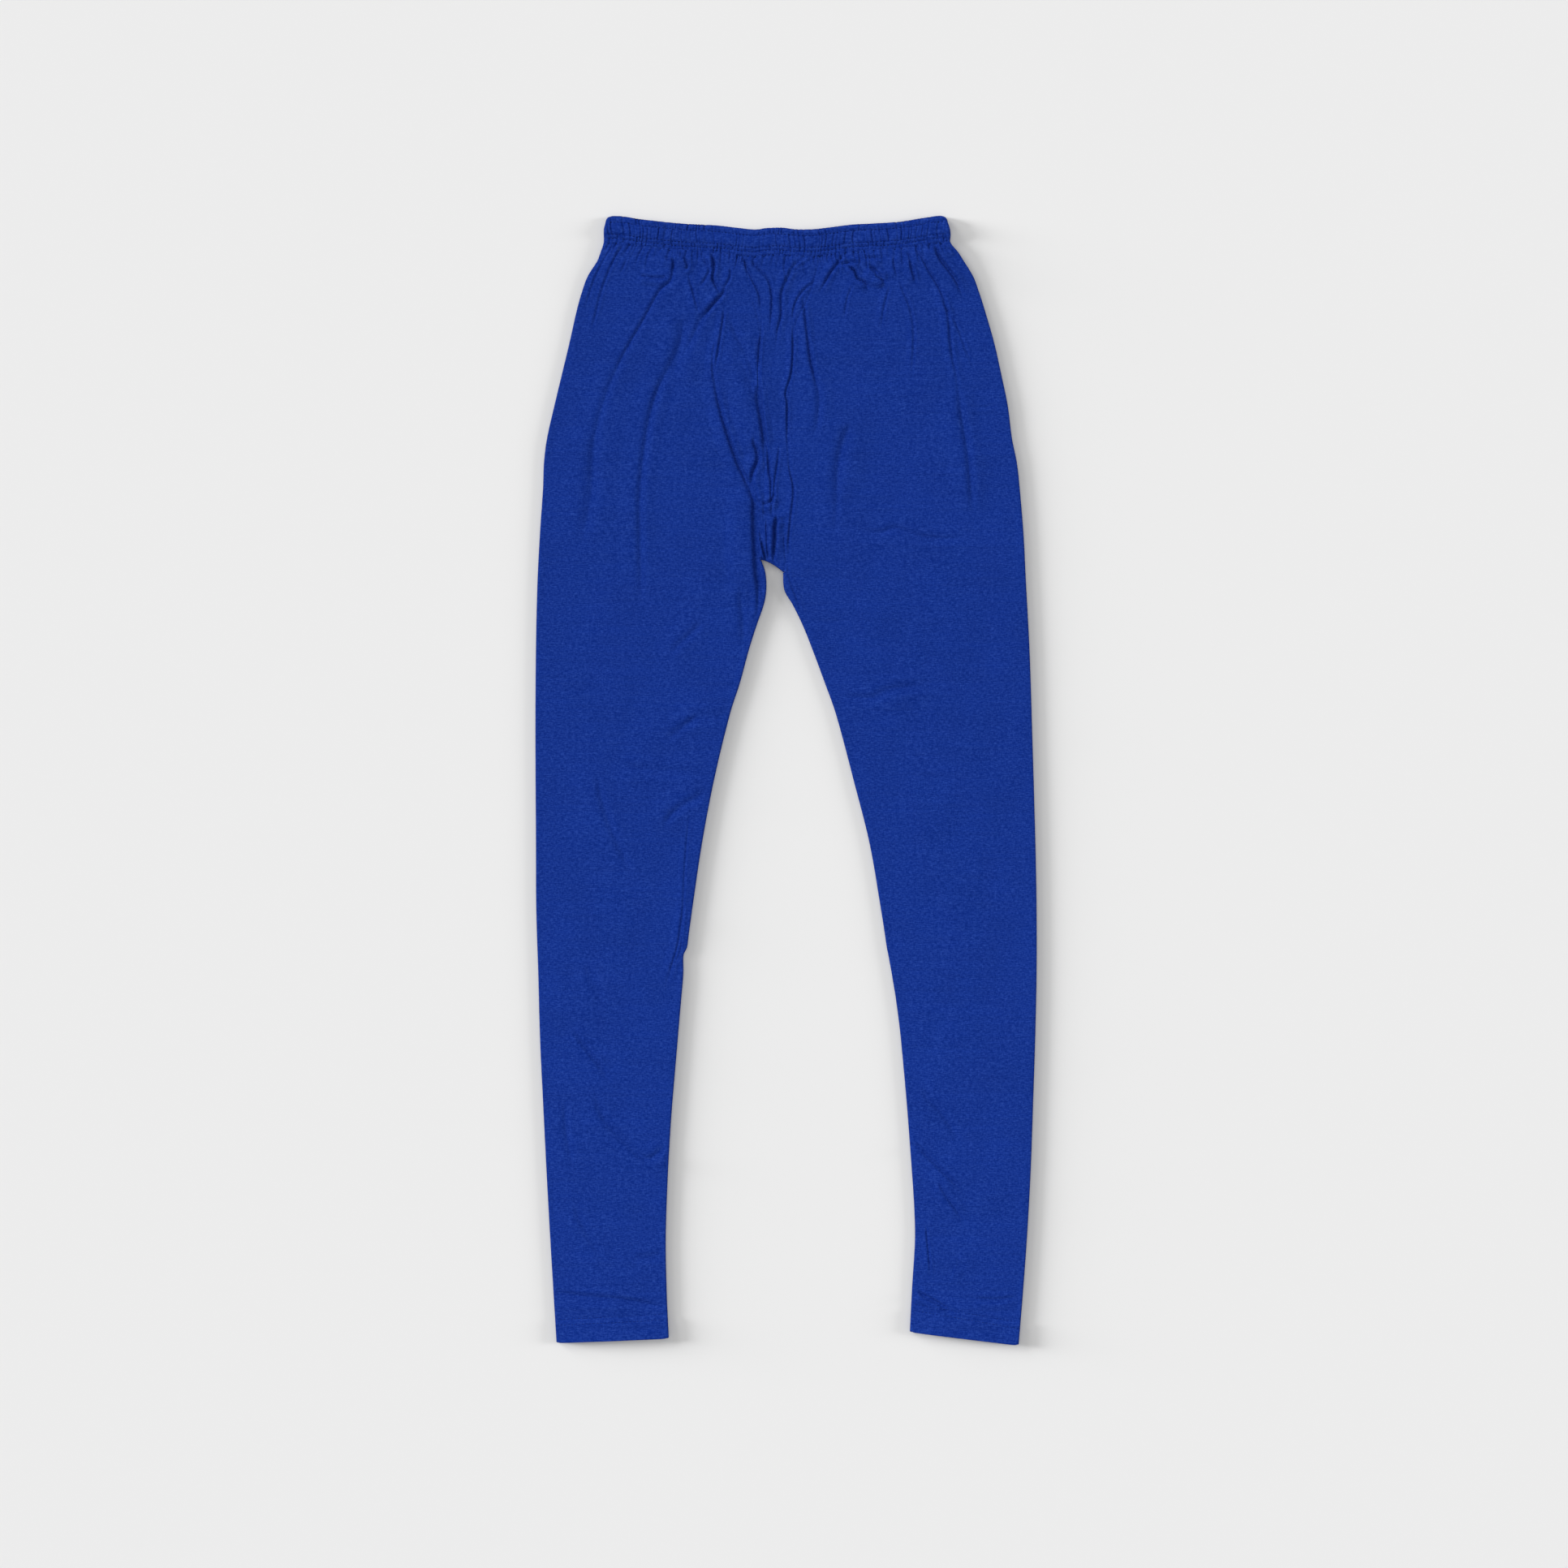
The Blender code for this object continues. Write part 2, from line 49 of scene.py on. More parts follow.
BAND_THICKNESS = 0.0050
BAND_DEPTH = 0.0262
SEAM_GAP = 0.0003
CROWN = 0.0007
BAND_LIFT = 0.0013
BAND_LIFT_REACH = 0.045
LEFT_CROTCH = 0.3263
RIGHT_CROTCH = 0.3378
HEM_FOLD = 0.020
HEM_SLOPE_START = 0.90

# Top edge of the waist: x, how far it lies below its highest level
WAIST_EDGE = (
    (-0.24, 0.0006), (-0.1672, 0.0006), (-0.1557, 0.0008), (-0.1403, 0.0033), (-0.1226, 0.0054),
    (-0.0968, 0.0079), (-0.0662, 0.0095), (-0.0483, 0.0115), (-0.0296, 0.0134), (-0.0181, 0.012),
    (-0.0042, 0.0116), (0.0073, 0.013), (0.0231, 0.0133), (0.0381, 0.0118), (0.0611, 0.0089),
    (0.0819, 0.0077), (0.1072, 0.0061), (0.1249, 0.0033), (0.1426, 0.0006), (0.1518, 0.0002),
    (0.24, 0.0002),
)

# Outer edges of the garment: down, left edge x, right edge x
OUTLINE = (
    (0.0, -0.1697, 0.1518), (0.005, -0.1708, 0.153), (0.012, -0.1725, 0.1552),
    (0.018, -0.1727, 0.156), (0.0245, -0.1727, 0.1557), (0.0285, -0.1737, 0.158),
    (0.0335, -0.1755, 0.1625), (0.042, -0.1787, 0.168), (0.057, -0.188, 0.1772),
    (0.072, -0.1935, 0.1829), (0.088, -0.198, 0.188), (0.119, -0.205, 0.197),
    (0.15, -0.2124, 0.204), (0.18, -0.2196, 0.2102), (0.211, -0.2265, 0.2142),
    (0.234, -0.2294, 0.2188), (0.257, -0.2302, 0.2214), (0.303, -0.2333, 0.2252),
    (0.349, -0.2356, 0.2275), (0.411, -0.237, 0.2308), (0.488, -0.2375, 0.2333),
    (0.595, -0.237, 0.2364), (0.657, -0.2367, 0.2375), (0.718, -0.2348, 0.2375),
    (0.78, -0.2331, 0.2362), (0.841, -0.2302, 0.2342), (0.903, -0.2271, 0.232),
    (0.964, -0.2238, 0.2287), (1.026, -0.2202, 0.2242), (1.07, -0.2175, 0.2205),
)

# Seams between the gusset and the legs: down, left seam x, right seam x
GUSSET_SEAMS = (
    (0.026, -0.04, 0.032), (0.04, -0.0373, 0.0288), (0.065, -0.032, 0.021),
    (0.092, -0.0252, 0.009), (0.134, -0.025, 0.0058), (0.18, -0.0234, 0.0012),
    (0.226, -0.0205, 0.0031), (0.257, -0.0205, 0.007), (0.288, -0.0215, 0.0042),
    (0.326, -0.0235, 0.0004), (0.34, -0.0235, -0.003),
)

# Inner edges of the two legs below the crotch: down, left leg's x, right leg's x
INNER_EDGES = (
    (0.326, -0.0236, -0.0028), (0.338, -0.0195, -0.0028), (0.355, -0.0186, -0.0015),
    (0.369, -0.0211, 0.0065), (0.388, -0.0277, 0.0158), (0.411, -0.035, 0.025),
    (0.442, -0.0434, 0.0365), (0.472, -0.053, 0.0472), (0.534, -0.068, 0.0638),
    (0.595, -0.0796, 0.0792), (0.657, -0.0888, 0.0899), (0.682, -0.0922, 0.0938),
    (0.6935, -0.0938, 0.0955), (0.7005, -0.097, 0.0969), (0.718, -0.0972, 0.1001),
    (0.745, -0.0995, 0.1045), (0.78, -0.1025, 0.1088), (0.872, -0.1099, 0.1168),
    (0.964, -0.1138, 0.1222), (1.026, -0.113, 0.1195), (1.07, -0.111, 0.1173),
)

# How far down each hem ends, at the outer edge and the inner one
HEM_ENDS = {"left": (1.0677, 1.0635), "right": (1.0700, 1.0574)}
HEM_DOWN = 1.070

# The hems' rounded corners: how much shorter, over what share of the width
HEM_CORNER = 0.0018
HEM_CORNER_SHARE = 0.014

# The step up at the hem fold's upper edge: how far down, length, rise
HEM_STEP = (HEM_DOWN - HEM_FOLD - 0.003, 0.005, 0.0012)

# Rings of the hem's turn, up inside the leg and a little narrower: inset, rise
HEM_TURN = ((0.0003, -0.0004), (0.0009, -0.0003), (0.0011, 0.004), (0.0011, 0.018))
HEM_SQUEEZE = 0.045
HEM_SQUEEZE_INSET = 0.0009
HEM_TURN_SHARE = 0.8

# Creases are placed on a grid of squares, counted from the left edge and the top edge of a
# square frame round the garment.
GRID = 0.0007687
GRID_MIDDLE = 968.5
GRID_TOP = 265.5

# Kinds of crease, each a groove with a fold on both its sides, in mm:
# height of the left fold, its width, the same for the right fold, the groove's depth, its width.
# A depth below 0 is a rise.
KINDS = {
    "deep": (2.3, 14, 1.6, 9, 2.7, 1.7),
    "firm": (1.5, 9, 1.1, 7, 1.9, 1.3),
    "fine": (0.8, 7, 0.5, 5, 1.1, 1.0),
    "soft": (1.1, 22, 0.8, 15, 1.6, 3.4),
    "broad": (1.2, 30, 0.9, 26, 2.8, 8.0),
    "lapped": (3.0, 30, 1.4, 9, 3.4, 3.0),
    "dull": (1.4, 10, 1.0, 8, 1.9, 1.9),
    "hollow": (0, 20, 0, 20, -0.9, 11.0),
    "dent": (0, 20, 0, 20, -0.8, 7.0),
    "ridge": (0, 9, 0, 9, -2.0, 2.0),
    "slit": (0, 9, 0, 9, 5.0, 1.1),
}

# kind, strength, points of its way in squares, with the left fold on the way's right hand
CREASES = (
    # Folds that start at the band, from the left side to the gusset
    ("fine", 1.2, (752, 306), (742, 324), (733, 343), (726, 364), (721, 384)),
    ("fine", 1.1, (768, 303), (759, 316), (744, 350), (733, 392), (729, 410)),
    ("fine", 0.8, (773, 318), (765, 338)),
    ("firm", 1.6, (787, 338), (799, 342), (812, 343), (825, 342)),
    ("firm", 1.2, (816, 316), (824, 320), (830, 323), (829, 336)),
    ("fine", 0.9, (830, 320), (827, 345), (813, 358), (794, 392), (769, 436), (752, 474)),
    ("soft", 0.6, (832, 318), (827, 345), (813, 358), (794, 392), (769, 436), (748, 484), (735, 530),
        (730, 570), (729, 607), (719, 660)),
    ("broad", 0.7, (733, 520), (729, 607), (715, 680)),
    ("soft", 0.45, (846, 398), (836, 430), (812, 478), (800, 520)),
    ("soft", 1.05, (824, 452), (812, 478), (801, 514), (794, 557), (789, 607), (789, 650), (790, 715),
        (789, 760)),
    ("broad", 1.0, (842, 388), (838, 430), (826, 472)),
    ("firm", 1.2, (834, 309), (841, 315), (847, 325), (846, 331), (839, 332)),
    ("fine", 1.0, (850, 311), (856, 318), (860, 319)),
    ("fine", 1.6, (847, 338), (853, 355), (857, 371), (862, 388)),
    ("firm", 0.9, (866, 316), (871, 325), (874, 334), (868, 346), (860, 356)),
    ("firm", 1.5, (875, 313), (880, 322), (880, 332), (878, 343), (884, 355), (891, 366)),
    ("firm", 1.0, (895, 356), (889, 364), (881, 373), (872, 384), (864, 396)),
    ("soft", 0.8, (892, 361), (881, 373), (869, 386), (862, 398), (850, 424), (838, 446)),
    ("fine", 1.2, (900, 328), (900, 340), (896, 349), (891, 357)),
    ("firm", 0.8, (920, 309), (913, 314), (904, 320)),
    ("firm", 1.0, (916, 316), (922, 334), (930, 350), (936, 364), (938, 388)),
    ("firm", 1.0, (926, 322), (936, 333), (947, 345), (951, 362), (951, 385), (948, 420)),
    # Long folds between the left thigh and the gusset
    ("fine", 1.6, (893, 376), (890, 401), (887, 419), (884, 438), (881, 460)),
    ("fine", 1.1, (882, 420), (879, 433), (878, 449), (879, 463), (881, 473)),
    ("deep", 1.35, (880, 430), (881, 470), (887, 502), (897, 536), (909, 570), (918, 588), (925, 602),
        (929, 620), (930, 640), (931, 660), (932, 676), (934, 694), (936, 712), (940, 731), (948, 746),
        (956, 758)),
    ("lapped", 1.9, (925, 590), (931, 614), (932, 636), (932, 660), (933, 682), (934, 704), (937, 722),
        (943, 742)),
    ("broad", 1.7, (908, 556), (920, 600), (926, 630), (928, 670), (930, 715), (936, 752)),
    ("firm", 1.0, (931, 700), (934, 728), (934, 742), (935, 759), (933, 775)),
    ("soft", 1.0, (896, 384), (906, 408), (918, 432), (926, 452), (933, 480), (938, 512)),
    ("broad", 0.9, (905, 425), (918, 455), (930, 490), (937, 520)),
    # Left edge of the gusset
    ("fine", 2.1, (939, 384), (938, 409), (936, 426), (935, 449), (935, 472), (936, 489), (938, 506),
        (940, 522), (943, 541), (946, 554), (947, 576)),
    ("lapped", 1.2, (934, 470), (935, 489), (937, 506), (939, 522), (942, 541), (944, 560)),
    ("soft", 1.0, (934, 400), (933, 440), (932, 480)),
    ("firm", 1.0, (946, 552), (947, 568), (948, 582), (950, 592), (950, 607), (951, 624), (951, 642)),
    ("deep", 1.2, (930, 534), (929, 546), (932, 553), (934, 562), (932, 572), (927, 584), (926, 598),
        (925, 622)),
    ("firm", 1.3, (922, 608), (929, 614), (936, 619), (942, 621), (948, 619), (953, 612), (958, 604)),
    ("fine", 1.5, (930, 636), (937, 630), (944, 634), (950, 640)),
    ("deep", 1.7, (958, 634), (955, 646), (955, 660), (954, 673), (953, 696)),
    ("fine", 1.2, (961, 545), (958, 572), (955, 590), (953, 612), (952, 630)),
    ("firm", 0.9, (970, 641), (960, 641), (955, 652)),
    ("ridge", 1.0, (933, 640), (933, 652), (935, 666), (937, 680), (940, 692), (944, 706)),
    ("slit", 1.2, (936, 624), (936, 644), (937, 660), (940, 676), (944, 692), (949, 712)),
    ("slit", 0.6, (944, 636), (945, 657), (946, 680), (948, 704)),
    ("slit", 1.0, (933, 690), (935, 706), (937, 718), (941, 729), (946, 739), (954, 750)),
    ("ridge", 0.8, (946, 634), (948, 654), (949, 676), (951, 696), (953, 720)),
    # Middle of the gusset
    ("firm", 0.9, (990, 318), (977, 329), (970, 343), (965, 355), (963, 364), (963, 387), (960, 400),
        (958, 412), (955, 438)),
    ("fine", 1.0, (1002, 319), (987, 328), (975, 337), (969, 349)),
    # Right edge of the gusset
    ("fine", 1.3, (1010, 344), (993, 355), (984, 366), (978, 381), (977, 400)),
    ("fine", 1.4, (977, 392), (977, 414), (977, 437), (975, 460), (970, 477), (968, 486), (970, 495),
        (970, 518), (970, 541), (971, 565)),
    ("fine", 1.1, (970, 555), (973, 578), (977, 596), (978, 610), (976, 627), (974, 645), (972, 662),
        (972, 680), (972, 704)),
    ("fine", 0.7, (966, 660), (967, 675), (968, 692)),
    ("firm", 1.0, (989, 362), (991, 380), (994, 403), (997, 428), (1000, 446), (1004, 464), (1008, 482)),
    ("soft", 0.9, (996, 410), (998, 436), (1004, 462), (1009, 480), (1010, 500), (1007, 524),
        (1001, 545)),
    # Folds that start at the band, from the gusset to the right side
    ("firm", 1.1, (1040, 312), (1032, 325), (1025, 334), (1019, 344), (1008, 364)),
    ("firm", 1.3, (1030, 328), (1044, 324), (1053, 323), (1062, 325)),
    ("firm", 2.1, (1042, 327), (1053, 334), (1057, 343), (1066, 349), (1072, 357)),
    ("fine", 1.2, (1060, 316), (1059, 328)),
    ("firm", 1.0, (1061, 318), (1075, 318), (1088, 320)),
    ("deep", 1.3, (1070, 327), (1082, 337), (1093, 345)),
    ("firm", 2.2, (1077, 339), (1092, 348)),
    ("firm", 0.9, (1101, 314), (1102, 325), (1104, 334), (1107, 342)),
    ("firm", 1.5, (1121, 320), (1124, 334), (1129, 349)),
    ("fine", 1.3, (1116, 310), (1123, 318)),
    ("firm", 1.2, (1130, 309), (1138, 321), (1146, 336), (1156, 352), (1163, 368), (1169, 393),
        (1172, 428), (1179, 464), (1186, 512)),
    ("soft", 1.2, (1180, 470), (1186, 514), (1193, 557), (1197, 600), (1199, 640)),
    ("fine", 1.3, (1154, 362), (1166, 380), (1180, 402), (1190, 430), (1204, 462)),
    ("fine", 0.9, (1182, 492), (1204, 503), (1236, 496)),
    ("deep", 1.3, (1152, 303), (1158, 318), (1167, 330), (1178, 345), (1190, 372)),
    ("firm", 0.8, (1162, 306), (1177, 309)),
    ("fine", 1.2, (1107, 342), (1114, 361), (1121, 378), (1126, 405), (1125, 443), (1122, 474)),
    ("fine", 1.0, (1098, 350), (1091, 372), (1088, 388), (1085, 408)),
    ("fine", 0.8, (1051, 350), (1044, 370), (1040, 395)),
    ("soft", 0.5, (1052, 512), (1040, 541), (1033, 571), (1031, 621), (1028, 685)),
    ("broad", 0.7, (1050, 520), (1040, 548), (1033, 580), (1031, 620)),
    ("soft", 0.8, (1058, 652), (1083, 657), (1104, 651), (1133, 661), (1168, 664), (1200, 660)),
    # Left thigh, knee, inseam, shin and hem
    ("soft", 0.8, (911, 720), (914, 745), (916, 768), (917, 800)),
    ("soft", 0.6, (868, 765), (846, 786), (822, 808)),
    ("soft", 0.6, (862, 884), (846, 893), (832, 903), (820, 912)),
    ("soft", 0.85, (898, 886), (880, 884), (862, 884), (848, 891), (832, 902)),
    ("soft", 1.0, (760, 943), (785, 948), (807, 950), (840, 951), (874, 957)),
    ("soft", 0.8, (734, 950), (742, 985), (752, 1017), (768, 1052), (784, 1084)),
    ("soft", 1.0, (872, 977), (856, 985), (840, 994), (826, 1006), (814, 1022)),
    ("fine", 0.7, (852, 985), (846, 1040), (843, 1094), (841, 1140), (839, 1168), (831, 1190),
        (822, 1208)),
    ("firm", 0.6, (842, 1112), (839, 1140), (836, 1162), (831, 1180), (826, 1196), (818, 1222)),
    ("soft", 0.8, (721, 1190), (733, 1212), (747, 1232)),
    ("dull", 1.2, (704, 1268), (718, 1286), (729, 1300), (741, 1315), (757, 1338)),
    ("soft", 1.1, (729, 1339), (745, 1378), (770, 1405), (795, 1428), (812, 1420), (824, 1404)),
    ("soft", 0.55, (695, 1355), (699, 1400), (707, 1442)),
    ("soft", 0.7, (706, 1483), (724, 1520), (750, 1562)),
    ("soft", 1.3, (672, 1590), (710, 1597), (762, 1601), (800, 1608), (823, 1612)),
    ("soft", 0.7, (780, 1552), (800, 1549), (820, 1545)),
    # Right thigh, calf, inseam and hem
    ("soft", 1.4, (1036, 855), (1056, 860), (1075, 860), (1095, 851), (1125, 846), (1160, 844)),
    ("soft", 0.4, (1000, 762), (1020, 768), (1044, 766)),
    ("fine", 1.6, (970, 690), (973, 714), (980, 732), (985, 748), (991, 762)),
    ("fine", 0.9, (1070, 1005), (1078, 1075), (1089, 1137)),
    ("soft", 1.0, (1132, 1340), (1160, 1370), (1186, 1408)),
    ("dull", 1.1, (1113, 1404), (1132, 1413), (1143, 1424), (1156, 1437), (1170, 1451), (1180, 1460),
        (1196, 1475)),
    ("dull", 0.8, (1155, 1456), (1165, 1471), (1176, 1487), (1191, 1508)),
    ("fine", 1.0, (1141, 1508), (1143, 1530), (1145, 1550), (1147, 1575)),
    ("dull", 1.8, (1129, 1590), (1141, 1598), (1156, 1606), (1175, 1618)),
    ("soft", 0.6, (1178, 1556), (1183, 1558), (1192, 1562)),
    ("dull", 0.9, (1200, 1600), (1228, 1602), (1256, 1598)),
)

# Hollows of the underside, seen through the front
BACK_CREASES = (
    ("hollow", 1.0, (744, 322), (722, 400), (706, 500), (702, 590)),
    ("dent", 1.1, (792, 318), (782, 390), (764, 470)),
    ("hollow", 0.9, (846, 324), (834, 420), (816, 530), (806, 640)),
    ("dent", 1.0, (884, 330), (890, 420), (906, 520), (918, 620), (915, 730)),
    ("dent", 0.8, (952, 330), (954, 430), (950, 540)),
    ("hollow", 0.9, (1012, 330), (1020, 430), (1012, 560), (1002, 660)),
    ("dent", 1.1, (1066, 322), (1074, 390), (1078, 452)),
    ("hollow", 1.0, (1122, 326), (1140, 430), (1150, 560), (1152, 650)),
    ("dent", 0.9, (1160, 322), (1182, 400), (1202, 500)),
    ("hollow", 0.8, (700, 880), (760, 900), (830, 905), (880, 890)),
    ("hollow", 0.8, (1040, 900), (1100, 880), (1180, 884), (1240, 900)),
    ("dent", 0.9, (700, 1120), (760, 1160), (820, 1180)),
    ("dent", 0.9, (1110, 1240), (1170, 1280), (1230, 1290)),
    ("hollow", 0.8, (720, 1370), (760, 1420), (800, 1440)),
    ("dent", 0.9, (1140, 1470), (1180, 1500), (1230, 1505)),
)

# Steps of a crease's curve between two of its points
CREASE_STEPS = 3

# Shares of its length over which a crease starts and ends. One that starts at the band, above
# BAND_CREASE_DOWN, is full after BAND_CREASE_START metres.
CREASE_START = 0.20
CREASE_END = 0.30
BAND_CREASE_DOWN = 0.048
BAND_CREASE_START = 0.005

# A fold's profile: powers that move its crest towards the groove and narrow it
CREST_PLACE = 0.6
CREST_POWER = 1.2

# How high folds can rise, how low grooves can go and how softly they stop there
HIGHEST_FOLD = 0.0048
LOWEST_GROOVE = 0.0012
GROOVE_EASE = 0.0004

# The underside: how high its hollows can rise, and how much of its low waves lies flat
BACK_REACH = 0.0007
BACK_FLAT = 0.00012

# Shares of a leg's width over which creases and hollows fade at its edges
EDGE_SHARE = 0.03
BACK_EDGE_SHARE = 0.06

# Gathers of the band, and the waves that make them uneven: share of a gather, length, shift
GATHERS = 80
GATHER_HEIGHT = 0.0019
GATHER_WAVES = ((0.55, 0.0068, 1.0), (0.22, 0.0031, 2.2))
GATHER_WIDTH = 0.16
GATHER_SHIFT = 0.4
STITCHED_FLAT = 0.35
BACK_GATHER_WIDTH = 0.17
BACK_GATHER_START = 0.003

# Puckers that run on below the band, fine ones and broad ones:
# how many for each gather, depth, shortest, longest, width as a share of their pitch
PUCKERS = ((1.0, 0.0027, 0.006, 0.018, 0.20), (0.5, 0.0034, 0.012, 0.042, 0.15))
PUCKER_FAN = 2.2
PUCKER_FAN_REACH = 0.06
PUCKER_WEAKEST = 0.25
PUCKER_CREST = 0.45
PUCKER_SHIFT = 0.25

# Rows of stitches on the band, in metres down, and where they start and end
BAND_STITCH_ROWS = (0.0060, 0.0175, 0.0212, 0.0255)
BAND_STITCH_START = 0.004
BAND_STITCH_END = 0.005
BAND_STITCH_RISE = 0.00005

# Rows of stitches on the hems: leg, at the outer edge, at the inner edge, in metres down
HEM_STITCH_ROWS = (
    ("left", 1.0480, 1.0465),
    ("left", 1.0535, 1.0520),
    ("right", 1.0487, 1.0424),
    ("right", 1.0545, 1.0487),
)
HEM_STITCH_WIDTH = 0.104

# Stitches, their threads' radii, and how they press into the cloth, less so at the hems
STITCH_LENGTH = 0.0022
STITCH_PITCH = 0.0033
BAND_THREAD = 0.00032
HEM_THREAD = 0.00024
STITCH_PRESS = 0.0006
STITCH_PRESS_WIDTH = 0.0010
HEM_PRESS_SHARE = 0.8

# Rings of a stitch: share of its length, share of its radius, rise in radii
STITCH_RINGS = ((0, 0.35, -0.6), (0.22, 1, 0.4), (0.78, 1, 0.4), (1, 0.35, -0.6))
STITCH_CORNERS = 6

# How finely the pieces are divided
FRONT_COLUMNS = 170
INNER_DENSITY = 0.75
BACK_COLUMNS = 24
ROLL_STEPS = 6
CROTCH_STEPS = 8
GUSSET_COLUMNS = 64
BAND_COLUMNS = 660
BAND_BACK_COLUMNS = 330
BAND_ROW = 0.0007
BODY_ROW = 0.0016

# Rows of a leg below the crotch: how far down they go, their pitch
LEG_ROWS = (
    (0.42, 0.0026), (0.62, 0.003), (0.68, 0.005), (0.715, 0.0017), (0.76, 0.005), (0.87, 0.0026),
    (0.96, 0.0019), (1.01, 0.003), (1.07, 0.0017),
)

# The band's section: rounded top corners, the bulge of the casing and the roll of its top edge
BAND_CORNER = 0.0042
BAND_FULLNESS = 0.0004
CASING_TOP = 0.006
CASING_DEPTH = 0.0125
TOP_ROLL = 0.0016
TOP_ROLL_REACH = 0.0028

# The band's steps, at its hem and its lower edge: how far down, length, drop
BAND_HEM = (0.0170, 0.0050, 0.0008)
LOWER_ROLL = (0.0248, 0.0014, 0.0003)

# Rings that go down inside the band: down, inset; and the ring that closes its lower edge
BAND_INSIDE = ((0.0002, 0.0010), (0.0014, 0.0019), (0.012, 0.0021), (0.0255, 0.0021))
BAND_UNDER = 0.0001
BAND_UNDER_SHARE = 0.55

# The band's join: x, width, depth; and how much weaker the gathers beside it are
BAND_JOIN = (-0.0245, 0.0008, 0.0008)
FLATTER = (-0.028, 0.020, 0.7)

# How pieces meet: the legs and the gusset run on under the band, and the gusset under the legs
BAND_LAP = 0.0016
UNDER_BAND_START = 0.0004
UNDER_BAND_EASE = 0.0012
UNDER_BAND_DROP = 0.35
UNDER_BAND_FLAT = 0.85
GUSSET_LIP = 0.0020
GUSSET_LIP_DROP = 0.0004

# Grooves along the seams: width, depth; and along the band's lower edge: how far below, width
SEAM_GROOVE = (0.0012, 0.0006)
BAND_EDGE = (0.0006, 0.0011)
BAND_EDGE_DEPTH = 0.0009

# The gusset at the crotch: its edge's bend, and how the creases fade there
CROTCH_BEND = 1.5
CROTCH_FADE = 0.5
CROTCH_FADE_SHARE = 0.02

# Rows that are closer than this are at the same level
SAME = 1e-6


def mix(a, b, share):
    return a + (b - a) * share


def smooth(share):
    """0 below 0, 1 above 1, and an S-curve between them."""
    share = np.clip(share, 0.0, 1.0)
    return share * share * (3 - 2 * share)


def read_table(table, down, column):
    """The smooth curve through one column of a table, at distances down."""
    down = np.asarray(down, float)
    table = np.array(table)
    last = len(table) - 1
    place = np.clip(np.searchsorted(table[:, 0], down) - 1, 0, last - 1)
    before, start = table[np.maximum(place - 1, 0)], table[place]
    end, after = table[place + 1], table[np.minimum(place + 2, last)]
    width = end[..., 0] - start[..., 0]
    share = np.clip((down - start[..., 0]) / width, 0, 1)
    rise = (end[..., column] - before[..., column]) / (end[..., 0] - before[..., 0])
    start_slope = width * rise
    rise = (after[..., column] - start[..., column]) / (after[..., 0] - start[..., 0])
    end_slope = width * rise
    square, cube = share**2, share**3
    return (
        (2 * cube - 3 * square + 1) * start[..., column]
        + (cube - 2 * square + share) * start_slope
        + (3 * square - 2 * cube) * end[..., column]
        + (cube - square) * end_slope
    )


def waist_sag(x):
    """How far the waist's top edge lies below its highest level."""
    return read_table(WAIST_EDGE, x, 1)


def row_sag(x, down, crotch):
    """The sag of a row below the band, which has faded away at the crotch."""
    return waist_sag(x) * (1 - smooth((down - BAND_DEPTH) / (crotch - BAND_DEPTH)))


def dip(place, centre, width, depth=1.0):
    """A soft groove, deepest at its centre."""
    return depth * np.exp(-(((place - centre) / width) ** 2))


def soft_step(place, start, length, height):
    """A step up from 0."""
    return height * smooth((place - start) / length)


def wave(height, place, length, shift=0.0):
    return height * np.sin(place / length + shift)


def points_from(*axes):
    """Points, with an array for each axis."""
    return np.stack(np.broadcast_arrays(*axes), axis=-1)


def crease_line(way):
    """A smooth curve through the points of a crease, in x and down."""
    points = (np.array(way, float) - (GRID_MIDDLE, GRID_TOP)) * GRID
    count = len(points)
    table = np.column_stack([np.arange(count), points])
    place = np.linspace(0, count - 1, (count - 1) * CREASE_STEPS + 1)
    return points_from(read_table(table, place, 1), read_table(table, place, 2))


def fold_profile(share):
    """A fold beside a groove: steep from the groove up to its crest, then a soft fall."""
    share = np.clip(share, 0, 1)
    return np.sin(np.pi * share**CREST_PLACE) ** CREST_POWER


def crease_height(x, down, creases=CREASES):
    """How far all creases raise or lower the cloth."""
    total = np.zeros_like(x)
    for kind, strength, *way in creases:
        left_height, left_width, right_height, right_width, depth, width = (
            size / 1000 for size in KINDS[kind]
        )
        line = crease_line(way)
        stretch = np.hypot(*np.diff(line, axis=0).T).sum()
        reach = max(left_width, right_width, 2 * width)
        low, high = line.min(0) - reach, line.max(0) + reach
        near = (x > low[0]) & (x < high[0]) & (down > low[1]) & (down < high[1])
        if not near.any():
            continue
        here = points_from(x[near], down[near])
        best = np.full(len(here), np.inf)
        side, along = np.zeros(len(here)), np.zeros(len(here))
        for step in range(len(line) - 1):
            stride = line[step + 1] - line[step]
            away = here - line[step]
            share = np.clip(away @ stride / (stride @ stride), 0, 1)
            off = away - share[:, None] * stride
            distance = np.hypot(off[:, 0], off[:, 1])
            closer = distance < best
            best = np.where(closer, distance, best)
            right = (away[:, 0] * stride[1] - away[:, 1] * stride[0]) >= 0
            side = np.where(closer, np.where(right, distance, -distance), side)
            along = np.where(closer, (step + share) / (len(line) - 1), along)
        at_band = line[0, 1] < BAND_CREASE_DOWN
        start = BAND_CREASE_START / stretch if at_band else CREASE_START
        present = strength * smooth(along / start) * smooth((1 - along) / CREASE_END)
        left = left_height * fold_profile(-side / left_width)
        right = right_height * fold_profile(side / right_width)
        total[near] += present * (left + right - dip(side, 0, width, depth))
    return np.where(total > 0, HIGHEST_FOLD * np.tanh(total / HIGHEST_FOLD), total)


